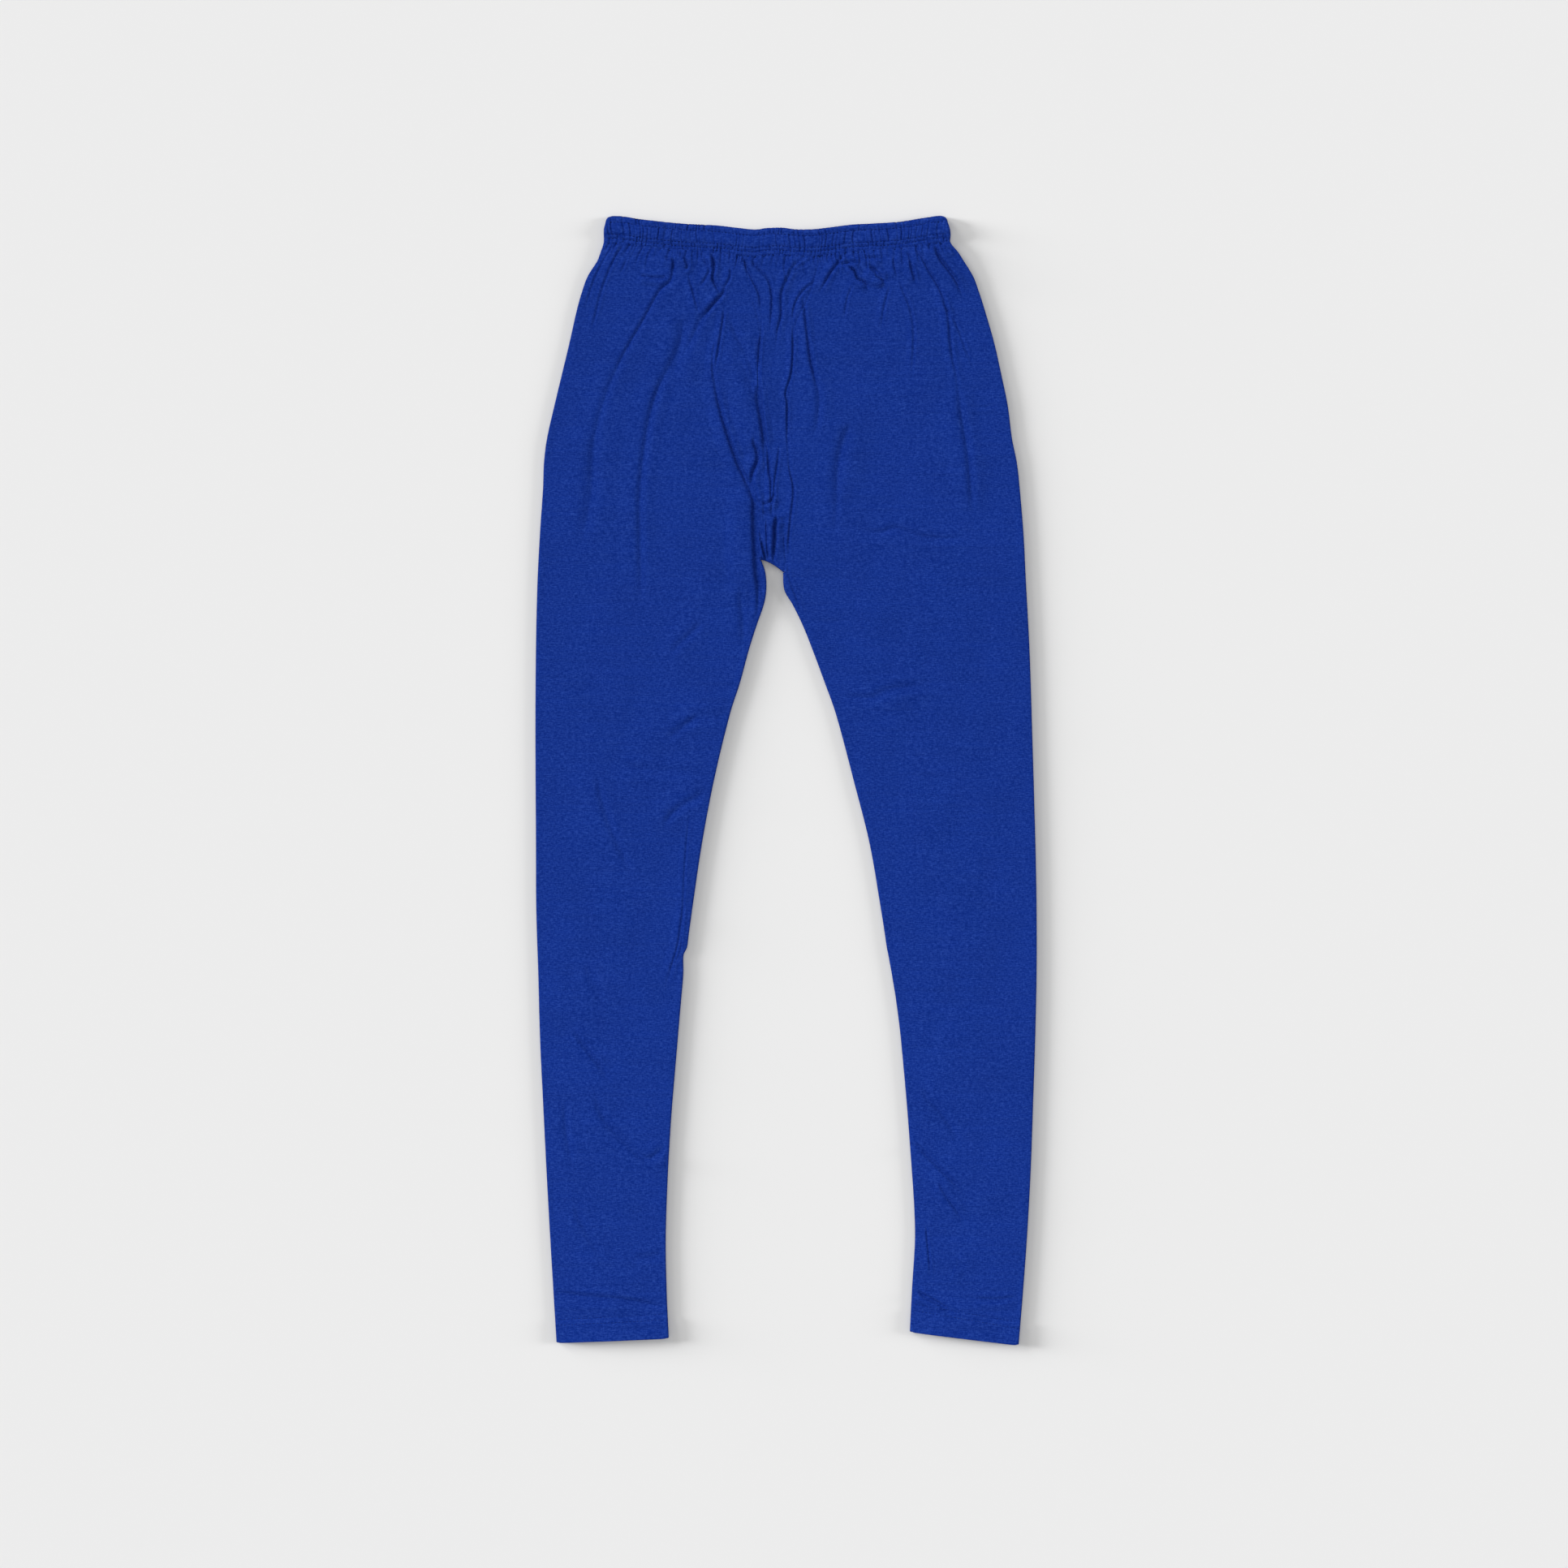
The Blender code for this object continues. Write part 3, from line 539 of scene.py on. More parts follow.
def own_share(count):
    """A share that looks random but is always the same for the same count."""
    value = np.sin(count * 12.9898 + 4.1) * 43758.5453
    return value - np.floor(value)


def gather_phase(x):
    """Counts the gathers from the middle of the waist; they aren't evenly wide."""
    phase = x / (OUTLINE[0][2] - OUTLINE[0][1]) * GATHERS
    for share, length, shift in GATHER_WAVES:
        phase = phase + wave(share, x, length, shift)
    return phase


def pucker_height(x, below_band):
    """Puckers that fan out below the band, each with its own length and depth."""
    below = np.clip(below_band, 0, PUCKER_FAN_REACH)
    fanned = x / (1 + PUCKER_FAN * below) + wave(0.0012, below, 0.006, x / 0.021)
    total = np.zeros_like(x)
    for pitch_share, depth, least, most, width in PUCKERS:
        phase = gather_phase(fanned) * pitch_share + 0.3
        number = np.floor(phase)
        length = mix(least, most, own_share(number + 50 * pitch_share) ** 2)
        strength = mix(PUCKER_WEAKEST, 1.0, own_share(number * 3 + 7))
        centre = 0.5 + PUCKER_SHIFT * (own_share(number * 5 + 2) - 0.5)
        valley = dip(phase - number, centre, width)
        crest = PUCKER_CREST * np.sin(np.pi * (phase - number)) ** 2
        total += depth * strength * (crest - valley) * (1 - smooth(below_band / length))
    return total


def band_edge_groove(x, below_band):
    """The line along the band's lower edge, deeper in some places."""
    depth = BAND_EDGE_DEPTH * (0.75 + wave(0.35, x, 0.0047, wave(2, x, 0.019)))
    return dip(below_band, *BAND_EDGE, depth)


def above_lower_layer(height):
    """A groove flattens out where it comes near the lower layer."""
    over = np.clip((height - LOWEST_GROOVE) / GROOVE_EASE, -30, 30)
    return LOWEST_GROOVE + GROOVE_EASE * np.log1p(np.exp(over))


def soft_waves(x, down):
    """Low, long unevenness of cloth that lies loosely."""
    across = wave(0.00022, x, 0.017, wave(1.3, down, 0.060))
    along = wave(0.00020, down, 0.023, wave(1.7, x, 0.045, 0.5))
    return across + along + wave(0.00012, x, 0.007, down / 0.019 + 0.4)


def back_height(x, down):
    """Hollows of the underside, which rests flat between them."""
    low_waves = wave(0.0004, x, 0.019, wave(1.1, down, 0.047)) * wave(1.0, down, 0.083, 0.6)
    raised = crease_height(x, down, BACK_CREASES) + low_waves - BACK_FLAT
    return BACK_REACH * np.tanh(np.maximum(raised, 0) / BACK_REACH)


def band_lift(down):
    """How far the layers are raised by the thicker band above them."""
    return BAND_LIFT * (1 - smooth((down - BAND_DEPTH) / BAND_LIFT_REACH))


def front_folds(x, down, true_down):
    """Waves, creases and puckers of the upper layer; true_down follows the waist's sag."""
    below_band = down - BAND_DEPTH
    moved = soft_waves(x, true_down) + crease_height(x, true_down)
    return moved + pucker_height(x, below_band) - band_edge_groove(x, below_band)


def layer_height(plain, down, fade, moved):
    """Height of a layer with its folds, held down and flattened where it's under the band."""
    hidden = smooth((BAND_DEPTH + UNDER_BAND_START - down) / UNDER_BAND_EASE)
    held = mix(plain, LEG_THICKNESS, hidden * UNDER_BAND_DROP)
    return held + fade * (1 - UNDER_BAND_FLAT * hidden) * moved


class Leg:
    """The lay of one leg panel, which the gusset and the stitches follow too."""

    def __init__(self, side):
        left = side == "left"
        self.side = side
        self.column = 1 if left else 2
        self.outward = -1 if left else 1
        self.crotch = (LEFT_CROTCH if left else RIGHT_CROTCH) + SEAM_GAP
        rows = [BAND_DEPTH - BAND_LAP]
        for end, step in ((self.crotch, BODY_ROW),) + LEG_ROWS:
            count = max(1, round((end - rows[-1]) / step))
            rows += list(np.linspace(rows[-1], end, count + 1)[1:])
            if end == self.crotch:
                self.crotch_row = len(rows) - 1
        self.rows = np.array(rows)

    def above_crotch(self, down):
        return down < self.crotch - SAME

    def outer_x(self, down):
        return read_table(OUTLINE, down, self.column)

    def inner_x(self, down):
        seam = read_table(GUSSET_SEAMS, down, self.column) + self.outward * SEAM_GAP / 2
        edge = read_table(INNER_EDGES, down, self.column)
        return np.where(self.above_crotch(down), seam, edge)

    def flat_ends(self, down):
        """Where a layer ends at the turns of the inner and the outer edge."""
        roll = self.outward * LEG_THICKNESS / 2
        inner = self.inner_x(down) + roll * ~self.above_crotch(down)
        return inner, self.outer_x(down) - roll

    def place(self, x, down, z):
        """Points, with the rows bent to follow the sagging waist and the sloping hem."""
        outer, inner = self.outer_x(down), self.inner_x(down)
        share = np.clip((x - outer) / (inner - outer), 0, 1)
        corners = np.exp(-share / HEM_CORNER_SHARE) + np.exp((share - 1) / HEM_CORNER_SHARE)
        hem_end = mix(*HEM_ENDS[self.side], share) - HEM_CORNER * corners
        slope = soft_step(down, HEM_SLOPE_START, HEM_DOWN - HEM_SLOPE_START, hem_end - HEM_DOWN)
        y = LENGTH / 2 - down - row_sag(x, down, self.crotch) - slope
        return points_from(x, y, z)

    def upper_height(self, x, down, share):
        """Top of the upper layer."""
        crown = CROWN * np.sin(np.pi * np.clip(share, 0, 1))
        plain = LEG_THICKNESS + crown + band_lift(down) + soft_step(down, *HEM_STEP)
        at_edge = np.where(self.above_crotch(down), 1, smooth(share / EDGE_SHARE))
        free = at_edge * smooth((1 - share) / EDGE_SHARE)
        true_down = LENGTH / 2 - self.place(x, down, 0)[..., 1]
        height = layer_height(plain, down, free, front_folds(x, down, true_down))
        stitched = np.zeros_like(x)
        for side, outer_down, inner_down in HEM_STITCH_ROWS:
            if side == self.side:
                row = mix(inner_down, outer_down, share)
                stitched += dip(down, row, STITCH_PRESS_WIDTH, HEM_PRESS_SHARE)
        seam = dip(x, self.inner_x(down), *SEAM_GROOVE) * self.above_crotch(down)
        return above_lower_layer(height - STITCH_PRESS * stitched - seam)

    def front(self):
        """Points of the upper layer, from the inner edge to the outer one, row by row."""
        down = np.repeat(self.rows[:, None], FRONT_COLUMNS + 1, axis=1)
        even = np.linspace(0, 1, FRONT_COLUMNS + 1)
        share = np.repeat(mix(even * even, even, INNER_DENSITY)[None], len(self.rows), axis=0)
        x = mix(*self.flat_ends(down), share)
        return self.place(x, down, self.upper_height(x, down, share))

    def back(self):
        """Points of the lower layer, from the outer edge to the inner one, row by row."""
        down = np.repeat(self.rows[:, None], BACK_COLUMNS + 1, axis=1)
        share = np.linspace(0, 1, BACK_COLUMNS + 1)[None]
        inner, outer = self.flat_ends(down)
        points = self.place(mix(outer, inner, share), down, 0.0)
        inside = smooth(share / BACK_EDGE_SHARE) * smooth((1 - share) / BACK_EDGE_SHARE)
        points[..., 2] = back_height(points[..., 0], LENGTH / 2 - points[..., 1]) * inside
        return points

    def turn(self, first, last, tip_x):
        """Points round a folded edge between two lines of points."""
        lines = []
        for step in range(1, ROLL_STEPS):
            angle = np.pi * step / ROLL_STEPS
            y = mix(first[:, 1], last[:, 1], step / ROLL_STEPS)
            z = mix(last[:, 2], first[:, 2], 0.5 + 0.5 * np.cos(angle))
            x = mix(first[:, 0], last[:, 0], step / ROLL_STEPS)
            x = x + (tip_x - x) * np.sin(angle)
            lines.append(points_from(x, y, z))
        return np.stack(lines, axis=1)

    def build(self, name):
        """The panel goes round the leg, and is open at the inner edge above the crotch."""
        front, back = self.front(), self.back()
        outer_turn = self.turn(front[:, -1], back[:, 0], self.outer_x(self.rows))
        inner_turn = self.turn(back[:, -1], front[:, 0], self.inner_x(self.rows))
        lines = np.concatenate([front, outer_turn, back, inner_turn], axis=1)
        number = numbered(lines)
        open_count = lines.shape[1] - inner_turn.shape[1]
        below_crotch = number[self.crotch_row :]
        closing = np.concatenate([below_crotch[:, open_count - 1 :], below_crotch[:, :1]], axis=1)
        faces = quads(number[:, :open_count]) + quads(closing)
        points = lines.reshape(-1, 3).tolist()
        faces += self.hem_lip(points, number[-1].tolist())
        return object_from(name, points, faces)

    def hem_lip(self, points, ring):
        """The hem turns round its lower edge and up inside the leg."""
        previous = ring
        faces = []
        middle_z = max(points[i][2] for i in ring) / 2
        middle_x = (self.outer_x(HEM_DOWN) + self.inner_x(HEM_DOWN)) / 2
        for inset, rise in HEM_TURN:
            made = []
            for i in ring:
                x, y, z = points[i]
                x -= (x - middle_x) * HEM_SQUEEZE * min(1, inset / HEM_SQUEEZE_INSET)
                towards = 1 if z < middle_z else -1
                z += towards * min(inset, abs(z - middle_z) * HEM_TURN_SHARE)
                points.append([x, y + rise, z])
                made.append(len(points) - 1)
            for k in range(len(ring)):
                after = (k + 1) % len(ring)
                faces.append([previous[k], previous[after], made[after], made[k]])
            previous = made
        return faces


def numbered(lines):
    """The numbers of the points of a grid."""
    return np.arange(lines.shape[0] * lines.shape[1]).reshape(lines.shape[:2])


def quads(number):
    """Faces between the points of a grid."""
    corners = (number[:-1, :-1], number[:-1, 1:], number[1:, 1:], number[1:, :-1])
    return points_from(*corners).reshape(-1, 4).tolist()


def closed(number):
    """A grid of numbers whose last column is its first one again."""
    return np.concatenate([number, number[:, :1]], axis=1)


def add_object(name, data):
    made = bpy.data.objects.new(name, data)
    bpy.context.scene.collection.objects.link(made)
    return made


def object_from(name, points, faces):
    mesh = bpy.data.meshes.new(name)
    mesh.from_pydata(np.reshape(points, (-1, 3)).tolist(), [], faces)
    mesh.shade_smooth()
    return add_object(name, mesh)


def build_gusset(left_leg):
    """The strip between the legs, along their seams, turning round the crotch."""
    roll = LEG_THICKNESS / 2
    share = np.linspace(0, 1, left_leg.crotch_row + 1)
    down = mix(BAND_DEPTH - BAND_LAP, LEFT_CROTCH, share)
    right_down = mix(BAND_DEPTH - BAND_LAP, RIGHT_CROTCH, share)
    left_x = read_table(GUSSET_SEAMS, down, 1) + SEAM_GAP / 2
    right_x = read_table(GUSSET_SEAMS, right_down, 2) - SEAM_GAP / 2
    across = np.linspace(0, 1, GUSSET_COLUMNS + 1)[None]
    x = mix(left_x[:, None], right_x[:, None], across)
    row_down = mix(down[:, None], right_down[:, None], across**CROTCH_BEND)
    y = LENGTH / 2 - row_down - row_sag(x, row_down, LEFT_CROTCH)
    edge_y = LENGTH / 2 - mix(LEFT_CROTCH, RIGHT_CROTCH, across**CROTCH_BEND) + roll
    y = np.maximum(y, edge_y)
    seam = dip(x, x[:, :1], *SEAM_GROOVE) + dip(x, x[:, -1:], *SEAM_GROOVE)
    fade = mix(CROTCH_FADE, 1.0, smooth((1 - share[:, None]) / CROTCH_FADE_SHARE))
    moved = front_folds(x, row_down, LENGTH / 2 - y)
    z = layer_height(LEG_THICKNESS + band_lift(row_down), row_down, fade, moved)
    front = points_from(x, y, above_lower_layer(z - seam))
    edge = front[-1]
    middle = edge[:, 2] / 2
    turned = []
    for step in range(1, CROTCH_STEPS + 1):
        angle = np.pi * step / CROTCH_STEPS
        turn_y = edge[:, 1] - roll * np.sin(angle)
        turned.append(points_from(edge[:, 0], turn_y, middle + middle * np.cos(angle)))
    back = front[::-1][1:] * (1, 1, 0)
    back[..., 2] = back_height(back[..., 0], LENGTH / 2 - back[..., 1])
    lines = np.concatenate([front, np.stack(turned), back], axis=0)
    lips = []
    for column, direction in ((0, -1), (-1, 1)):
        lip = lines[:, column].copy()
        lip[:, 2] += np.where(lip[:, 2] > roll, -GUSSET_LIP_DROP, GUSSET_LIP_DROP)
        lip[:, 0] += direction * GUSSET_LIP
        lips.append(lip[:, None])
    lines = np.concatenate([lips[0], lines, lips[1]], axis=1)
    return object_from("gusset_cloth", lines, quads(numbered(lines)))


def band_front_height(x, down):
    """Top of the band: a full casing between its stitch rows, and a flat hem below them."""
    pressed = sum(dip(down, row, STITCH_PRESS_WIDTH) for row in BAND_STITCH_ROWS)
    pressed = np.clip(pressed, 0, 1)
    phase = gather_phase(x + wave(0.0009, down, 0.0045, x / 0.013))
    number = np.floor(phase)
    zone = np.searchsorted(BAND_STITCH_ROWS, down) * 37.0
    depth = GATHER_HEIGHT * mix(0.12, 1.0, own_share(number + zone) ** 1.7)
    joined = 1 - dip(x, *FLATTER)
    centre = 0.5 + GATHER_SHIFT * (own_share(number * 3 + 11) - 0.5)
    valley = dip(phase - number, centre, GATHER_WIDTH)
    swell = wave(0.00035, x, 0.0041, wave(3, x, 0.017)) * wave(1.0, down, 0.0031, x / 0.009)
    gathered = (swell - depth * valley) * joined * (1 - STITCHED_FLAT * pressed)
    full = BAND_THICKNESS + BAND_FULLNESS + gathered - dip(x, *BAND_JOIN)
    bulge = BAND_FULLNESS * np.sin(np.pi * np.clip((down - CASING_TOP) / CASING_DEPTH, 0, 1))
    return full + bulge - soft_step(down, *BAND_HEM) - STITCH_PRESS * pressed


def band_back_height(x, down):
    """Underside of the band: narrow hollows of the gathers between flat places."""
    phase = gather_phase(x * 0.97 + wave(0.0007, down, 0.005, x / 0.011)) + 0.4
    number = np.floor(phase)
    zone = np.searchsorted(BAND_STITCH_ROWS, down) * 29.0
    depth = mix(0.15, 1.0, own_share(number + zone + 5) ** 1.5)
    hollow = dip(phase - number, 0.5, BACK_GATHER_WIDTH)
    return BACK_REACH * depth * hollow * smooth(down / BACK_GATHER_START)


def band_line(x, down, z):
    """Points across the band, at one distance down from its sagging top edge."""
    return points_from(x, down + waist_sag(x), z)


def band_turn(tip, centre, top, down, order):
    """Points round one end of the band, from its top down or, for order -1, upwards."""
    around = (np.pi * np.arange(1, ROLL_STEPS) / ROLL_STEPS)[::order]
    x = centre + (tip - centre) * np.sin(around)
    return band_line(x, down, top / 2 + top / 2 * np.cos(around))


def inner_ring(ring, down, share):
    """A ring moved down and flattened to a share of its height."""
    moved = ring.copy()
    moved[:, 1] += down
    moved[:, 2] = mix(BAND_THICKNESS / 2, moved[:, 2], share)
    return moved


def build_waistband():
    """The casing, all round: outside, over the top edge and down inside."""
    roll = BAND_THICKNESS / 2
    rings = []
    for down in np.append(np.arange(0.0, BAND_DEPTH, BAND_ROW), BAND_DEPTH):
        rounding = max(0.0, BAND_CORNER - down)
        rounding = BAND_CORNER - math.sqrt(BAND_CORNER**2 - rounding**2)
        left = read_table(OUTLINE, down, 1) + rounding
        right = read_table(OUTLINE, down, 2) - rounding
        x = np.linspace(left + roll, right - roll, BAND_COLUMNS + 1)
        rolled = TOP_ROLL * (1 - smooth(down / TOP_ROLL_REACH)) + soft_step(down, *LOWER_ROLL)
        z = band_front_height(x, np.full_like(x, down)) - rolled
        back_x = np.linspace(right - roll, left + roll, BAND_BACK_COLUMNS + 1)
        parts = [
            band_line(x, down, z),
            band_turn(right, right - roll, z[-1], down, 1),
            band_line(back_x, down, band_back_height(back_x, down)),
            band_turn(left, left + roll, z[0], down, -1),
        ]
        rings.append(np.concatenate(parts))
    inside = [inner_ring(rings[0], down, 1 - inset / roll) for down, inset in BAND_INSIDE]
    under = inner_ring(rings[-1], -BAND_UNDER, BAND_UNDER_SHARE)
    lines = np.array(inside[::-1] + rings + [under])
    lines[..., 1] = LENGTH / 2 - lines[..., 1]
    return object_from("waistband_cloth", lines, quads(closed(numbered(lines))))


def stitch_points(start, end, radius):
    """A short raised thread from one point to another."""
    start, end = np.array(start), np.array(end)
    along = end - start
    along /= np.linalg.norm(along)
    side = np.cross(along, (0, 0, 1))
    side /= np.linalg.norm(side)
    up = np.cross(side, along)
    points = []
    for share, size, rise in STITCH_RINGS:
        centre = mix(start, end, share) + np.array((0, 0, radius * rise))
        for corner in range(STITCH_CORNERS):
            angle = 2 * np.pi * corner / STITCH_CORNERS
            offset = side * np.cos(angle) + up * np.sin(angle)
            points.append(centre + offset * radius * size)
    return points


def stitches(name, path, radius):
    """Threads along a path, a list of their starts and ends."""
    rings = np.arange(len(STITCH_RINGS) * STITCH_CORNERS).reshape(-1, STITCH_CORNERS)
    stitch_faces = quads(closed(rings)) + [rings[0, ::-1].tolist(), rings[-1].tolist()]
    points, faces = [], []
    for start, end in path:
        faces += [[len(points) + i for i in face] for face in stitch_faces]
        points += stitch_points(start, end, radius)
    return object_from(name, points, faces)


def band_stitch_path():
    path = []
    for down in BAND_STITCH_ROWS:
        left, right = read_table(OUTLINE, down, 1), read_table(OUTLINE, down, 2)
        x = left + BAND_STITCH_START
        while x < right - BAND_STITCH_END:
            ends = []
            for place in (x, x + STITCH_LENGTH):
                z = band_front_height(np.array([place]), np.array([down]))[0]
                y = LENGTH / 2 - down - waist_sag(place)
                ends.append((place, y, z + BAND_STITCH_RISE))
            path.append(ends)
            x += STITCH_PITCH
    return path


def hem_stitch_path(legs):
    path = []
    for side, outer_down, inner_down in HEM_STITCH_ROWS:
        leg = legs[side]
        steps = int(HEM_STITCH_WIDTH / STITCH_PITCH)
        for step in range(1, steps):
            ends = []
            for share in (step / steps, (step + STITCH_LENGTH / STITCH_PITCH) / steps):
                down = np.array([mix(inner_down, outer_down, share)])
                x = mix(leg.inner_x(down), leg.outer_x(down), share)
                z = leg.upper_height(x, down, np.array([share]))
                ends.append(leg.place(x, down, z)[0])
            path.append(ends)
    return path


def new_material(name, inputs):
    """A material, its node tree, and its shader with these inputs."""
    material = bpy.data.materials.new(name)
    material.use_nodes = True
    shader = material.node_tree.nodes["Principled BSDF"]
    set_inputs(shader, inputs)
    return material, material.node_tree, shader


def set_inputs(node, inputs):
    for name, value in inputs.items():
        node.inputs[name].default_value = value


def add_node(tree, kind, inputs, **values):
    node = tree.nodes.new(kind)
    set_inputs(node, inputs)
    for name, value in values.items():
        setattr(node, name, value)
    return node


def link(tree, source, node, socket):
    tree.links.new(source, node.inputs[socket])


def object_place(tree):
    return add_node(tree, "ShaderNodeTexCoord", {}).outputs["Object"]


def noise(tree, place, cells, detail):
    """Noise, with its cells in a metre along each axis."""
    stretched = add_node(tree, "ShaderNodeMapping", {"Scale": cells})
    link(tree, place, stretched, "Vector")
    inputs = {"Scale": 1.0, "Detail": detail, "Roughness": 0.55}
    made = add_node(tree, "ShaderNodeTexNoise", inputs)
    link(tree, stretched.outputs["Vector"], made, "Vector")
    return made.outputs["Fac"]


def waves(tree, place, direction, scale, distortion=0.0):
    """Even bands across one direction."""
    inputs = {"Scale": scale, "Distortion": distortion}
    made = add_node(tree, "ShaderNodeTexWave", inputs, bands_direction=direction)
    link(tree, place, made, "Vector")
    return made.outputs["Fac"]


def ranged(tree, source, low, high, start=0.0, end=1.0):
    """A value moved from one range, start to end, to another, low to high."""
    inputs = {"From Min": start, "From Max": end, "To Min": low, "To Max": high}
    made = add_node(tree, "ShaderNodeMapRange", inputs)
    link(tree, source, made, "Value")
    return made.outputs["Result"]


def ramped(tree, source, stops):
    """Colours at places along a value."""
    made = add_node(tree, "ShaderNodeValToRGB", {})
    elements = made.color_ramp.elements
    while len(elements) < len(stops):
        elements.new(1.0)
    for element, (place, colour) in zip(elements, stops):
        element.position = place
        element.color = (*colour, 1)
    link(tree, source, made, "Fac")
    return made.outputs["Color"]


def combined(tree, operation, first, second):
    made = add_node(tree, "ShaderNodeMath", {}, operation=operation)
    link(tree, first, made, 0)
    link(tree, second, made, 1)
    return made.outputs["Value"]


def jersey_material():
    """Heathered jersey: pale fibres across, a fine knit and a slight bloom."""
    material, tree, shader = new_material("heathered_jersey", {
        "Specular IOR Level": 0.06, "Sheen Weight": 0.06, "Sheen Roughness": 0.45,
        "Sheen Tint": (0.10, 0.22, 1.0, 1),
    })
    place = object_place(tree)

    # Short fibres, and fewer long dashes that stand out more
    grain = noise(tree, place, (300, 1000, 300), 3.0)
    across = noise(tree, place, (820, 330, 300), 2.0)
    dashes = noise(tree, place, (150, 1000, 200), 1.0)
    streaks = ranged(tree, dashes, 0.0, 0.14, 0.55, 0.80)
    fibres = combined(tree, "ADD", grain, streaks)
    fibres = combined(tree, "ADD", fibres, ranged(tree, across, -0.16, 0.16, 0.2, 0.8))
    stops = (
        (0.35, (0.0024, 0.0215, 0.208)),
        (0.54, (0.0075, 0.0348, 0.264)),
        (0.83, (0.0200, 0.0630, 0.352)),
    )

    # Broad unevenness of the dyeing and the knit's slight bars across
    broad = ranged(tree, noise(tree, place, (24, 24, 24), 3.0), 0.96, 1.04, 0.3, 0.7)
    bars = ranged(tree, noise(tree, place, (9, 260, 9), 1.0), 0.965, 1.035, 0.3, 0.7)
    tinted = add_node(tree, "ShaderNodeVectorMath", {}, operation="SCALE")
    link(tree, ramped(tree, fibres, stops), tinted, 0)
    link(tree, combined(tree, "MULTIPLY", broad, bars), tinted, "Scale")
    link(tree, tinted.outputs["Vector"], shader, "Base Color")

    # The knit's wales and courses
    wales = waves(tree, place, "X", 420.0, 1.2)
    courses = waves(tree, place, "Y", 520.0, 1.2)
    knit = combined(tree, "ADD", wales, courses)
    bump = add_node(tree, "ShaderNodeBump", {"Strength": 0.25, "Distance": 0.0002})
    link(tree, combined(tree, "ADD", knit, fibres), bump, "Height")
    link(tree, bump.outputs["Normal"], shader, "Normal")
    link(tree, ranged(tree, fibres, 0.95, 0.80), shader, "Roughness")
    return material


def thread_material():
    """Matching sewing thread with its twist, coloured darker than the cloth: partly its own tone, partly
    painted shade of the dents that the stitches press in.
    """
    inputs = {"Roughness": 0.6, "Specular IOR Level": 0.06}
    material, tree, shader = new_material("sewing_thread", inputs)
    twist = waves(tree, object_place(tree), "DIAGONAL", 700.0)
    # Dark thread colours, which partly paint the shade in the stitch dents
    stops = ((0.0, (0.0012, 0.0115, 0.117)), (1.0, (0.0035, 0.0200, 0.175)))
    link(tree, ramped(tree, twist, stops), shader, "Base Color")
    return material


def floor_material():
    inputs = {"Base Color": (0.84, 0.84, 0.84, 1), "Roughness": 1.0, "Specular IOR Level": 0.0}
    return new_material("pale_floor", inputs)[0]


# Light from all round, high light on the cloth, and low light that draws its soft shadow:
# name, what it lights, azimuth, height above the horizon, strength, spread
SKY_STRENGTH = 0.41
LIGHTS = (
    ("key", "cloth", 50, 44, 1.98, 30),
    ("overhead", "cloth", 20, 80, 0.385, 60),
    ("low_left", "floor", 80, 7, 8.0, 15),
    ("low_right", "floor", -85, 12, 2.2, 17),
    ("low_corner", "floor", 54, 13, 1.9, 22),
)

# A broad lamp beyond the hems, facing down, that lights the lower legs more than the hips
LAMP_PLACE = (0.0, -0.65, 0.80)
LAMP_SIDE = 0.50
LAMP_POWER = 0.81

# The photo's frame: its width on the surface, and the point under its centre
VIEW_WIDTH = 1.4851
VIEW_CENTRE = (-0.0019, -0.0035)
CAMERA_HEIGHT = 3.0
SENSOR = 36.0
FLOOR_SIDE = 80.0


def build_camera():
    data = bpy.data.cameras.new("camera")
    data.sensor_width = SENSOR
    data.lens = SENSOR * CAMERA_HEIGHT / VIEW_WIDTH
    camera = add_object("camera", data)
    camera.location = (*VIEW_CENTRE, CAMERA_HEIGHT + LEG_THICKNESS)
    bpy.context.scene.camera = camera


def add_light(name, kind, strength, receivers):
    data = bpy.data.lights.new(name, kind)
    data.energy = strength
    light = add_object(name, data)
    light.light_linking.receiver_collection = receivers
    return light


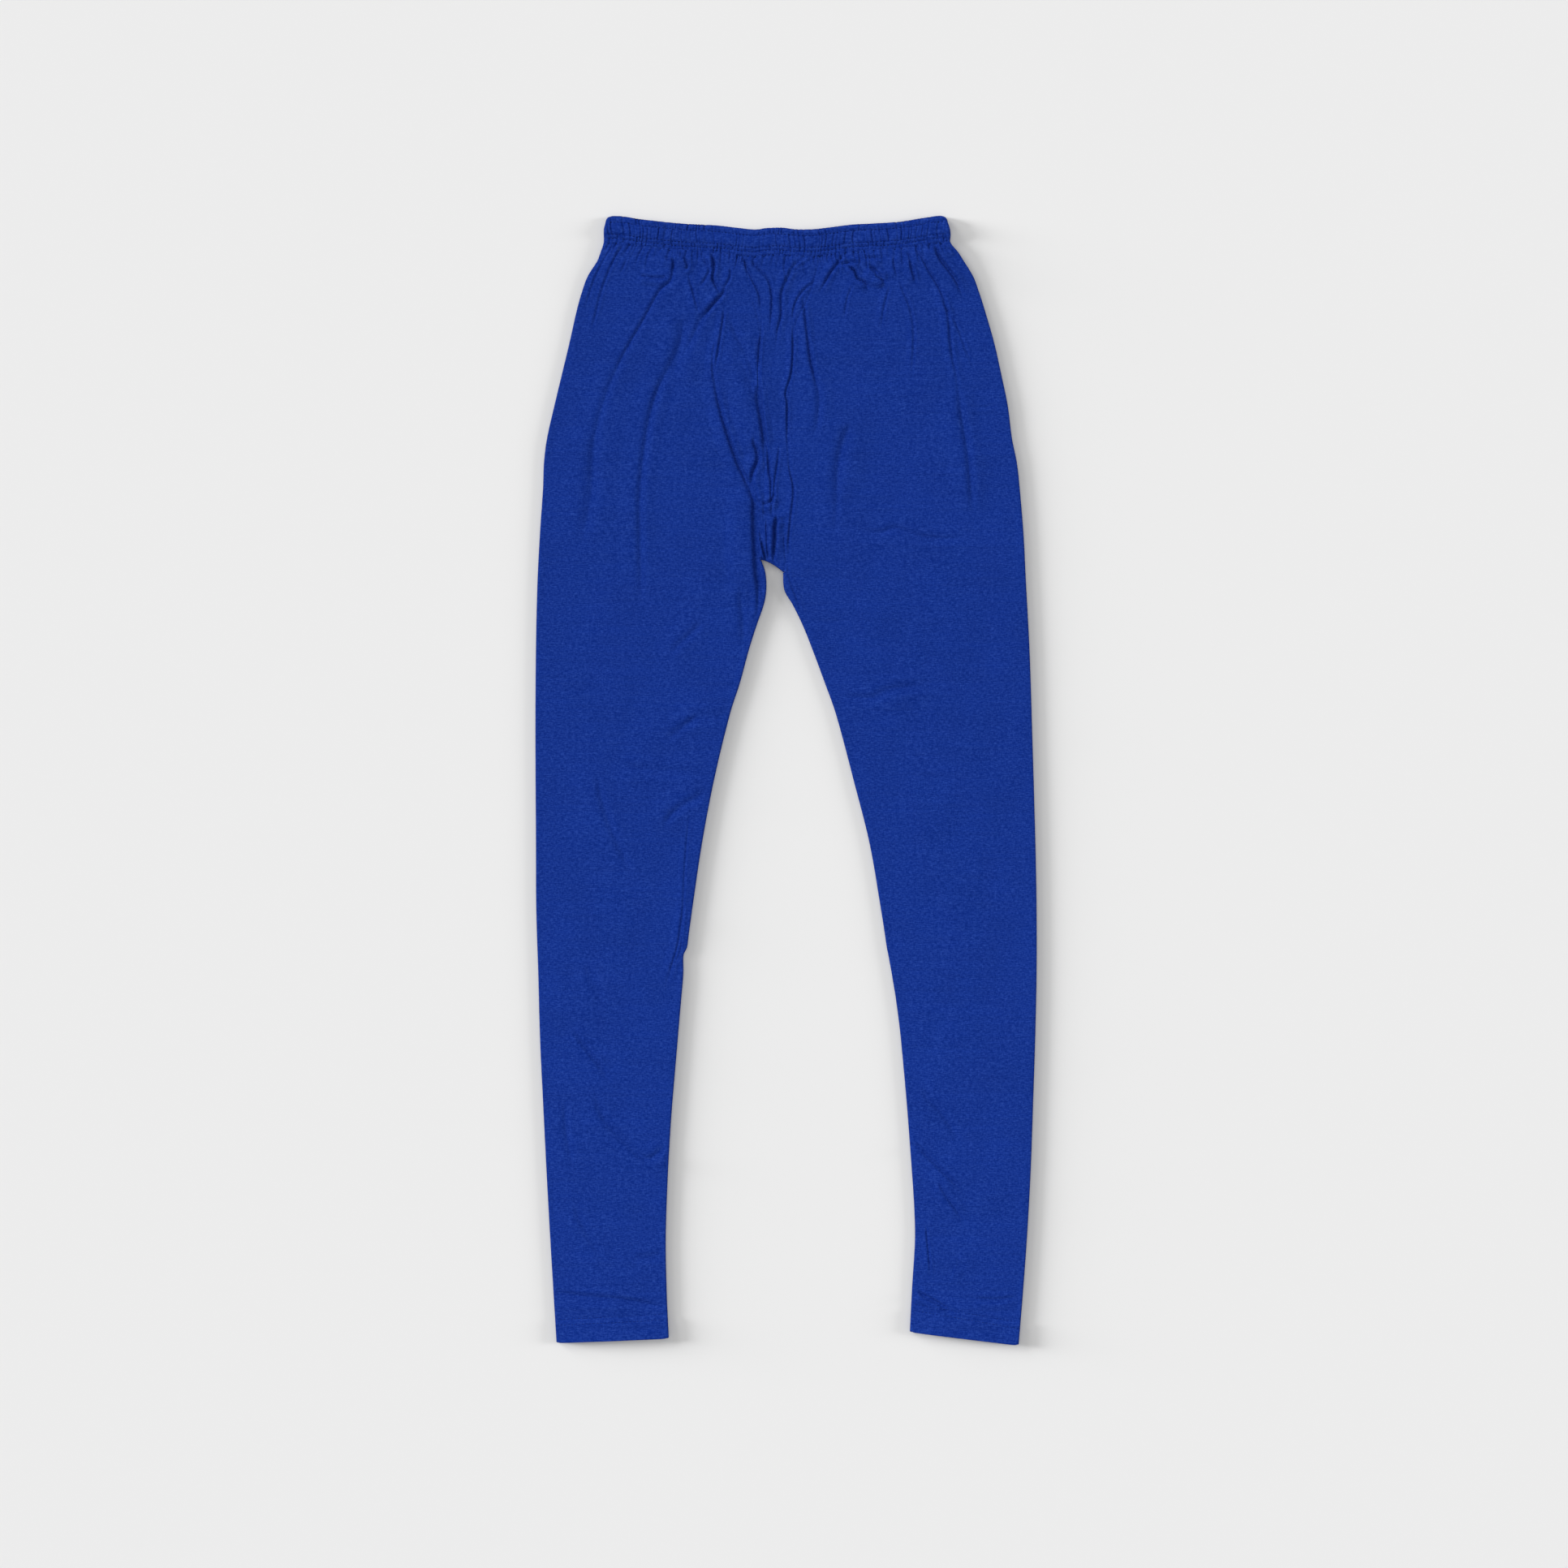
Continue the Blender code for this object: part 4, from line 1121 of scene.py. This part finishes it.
def sun(name, receivers, azimuth, height, strength, spread):
    """Soft light from afar: azimuth is counted from +Y towards -X, in degrees."""
    light = add_light(name, "SUN", strength, receivers)
    light.data.angle = math.radians(spread)
    light.rotation_euler = (math.radians(90 - height), 0, math.radians(180 + azimuth))


def lamp(receivers):
    light = add_light("lamp", "AREA", LAMP_POWER, receivers)
    light.data.size = LAMP_SIDE
    light.location = LAMP_PLACE


def build_stage():
    """The floor, 0.3 mm under the cloth."""
    half = FLOOR_SIDE / 2
    points = [(x * half, y * half, -SEAM_GAP) for x, y in ((-1, -1), (1, -1), (1, 1), (-1, 1))]
    floor = object_from("floor", points, [[0, 1, 2, 3]])
    floor.data.materials.append(floor_material())
    return floor


def build_lights(lit):
    """A white sky, and lights that each reach only the objects that they are meant for."""
    world = bpy.data.worlds.new("studio")
    world.use_nodes = True
    sky = {"Color": (1.0, 1.0, 1.0, 1), "Strength": SKY_STRENGTH}
    set_inputs(world.node_tree.nodes["Background"], sky)
    bpy.context.scene.world = world
    receivers = {}
    for target, objects in lit.items():
        receivers[target] = bpy.data.collections.new("lit_" + target)
        for made in objects:
            receivers[target].objects.link(made)
    for name, target, *rest in LIGHTS:
        sun(name, receivers[target], *rest)
    lamp(receivers["cloth"])
    bpy.context.scene.view_settings.view_transform = "Standard"


build_camera()
floor = build_stage()
jersey = jersey_material()
thread = thread_material()

legs = {"left": Leg("left"), "right": Leg("right")}
left_cloth = legs["left"].build("leg_left_cloth")
right_cloth = legs["right"].build("leg_right_cloth")
gusset_cloth = build_gusset(legs["left"])
band_cloth = build_waistband()
band_thread = stitches("waistband_stitches", band_stitch_path(), BAND_THREAD)
hem_thread = stitches("hem_stitches", hem_stitch_path(legs), HEM_THREAD)

for cloth, node in (
    (left_cloth, "leg_left"),
    (right_cloth, "leg_right"),
    (gusset_cloth, "gusset"),
    (band_cloth, "waistband"),
):
    cloth.data.materials.append(jersey)
    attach(cloth, "root")
    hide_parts(node)
for stitching in (band_thread, hem_thread):
    stitching.data.materials.append(thread)
    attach(stitching, "root")
pieces = [left_cloth, right_cloth, gusset_cloth, band_cloth, band_thread, hem_thread]
build_lights({"cloth": pieces, "floor": [floor]})
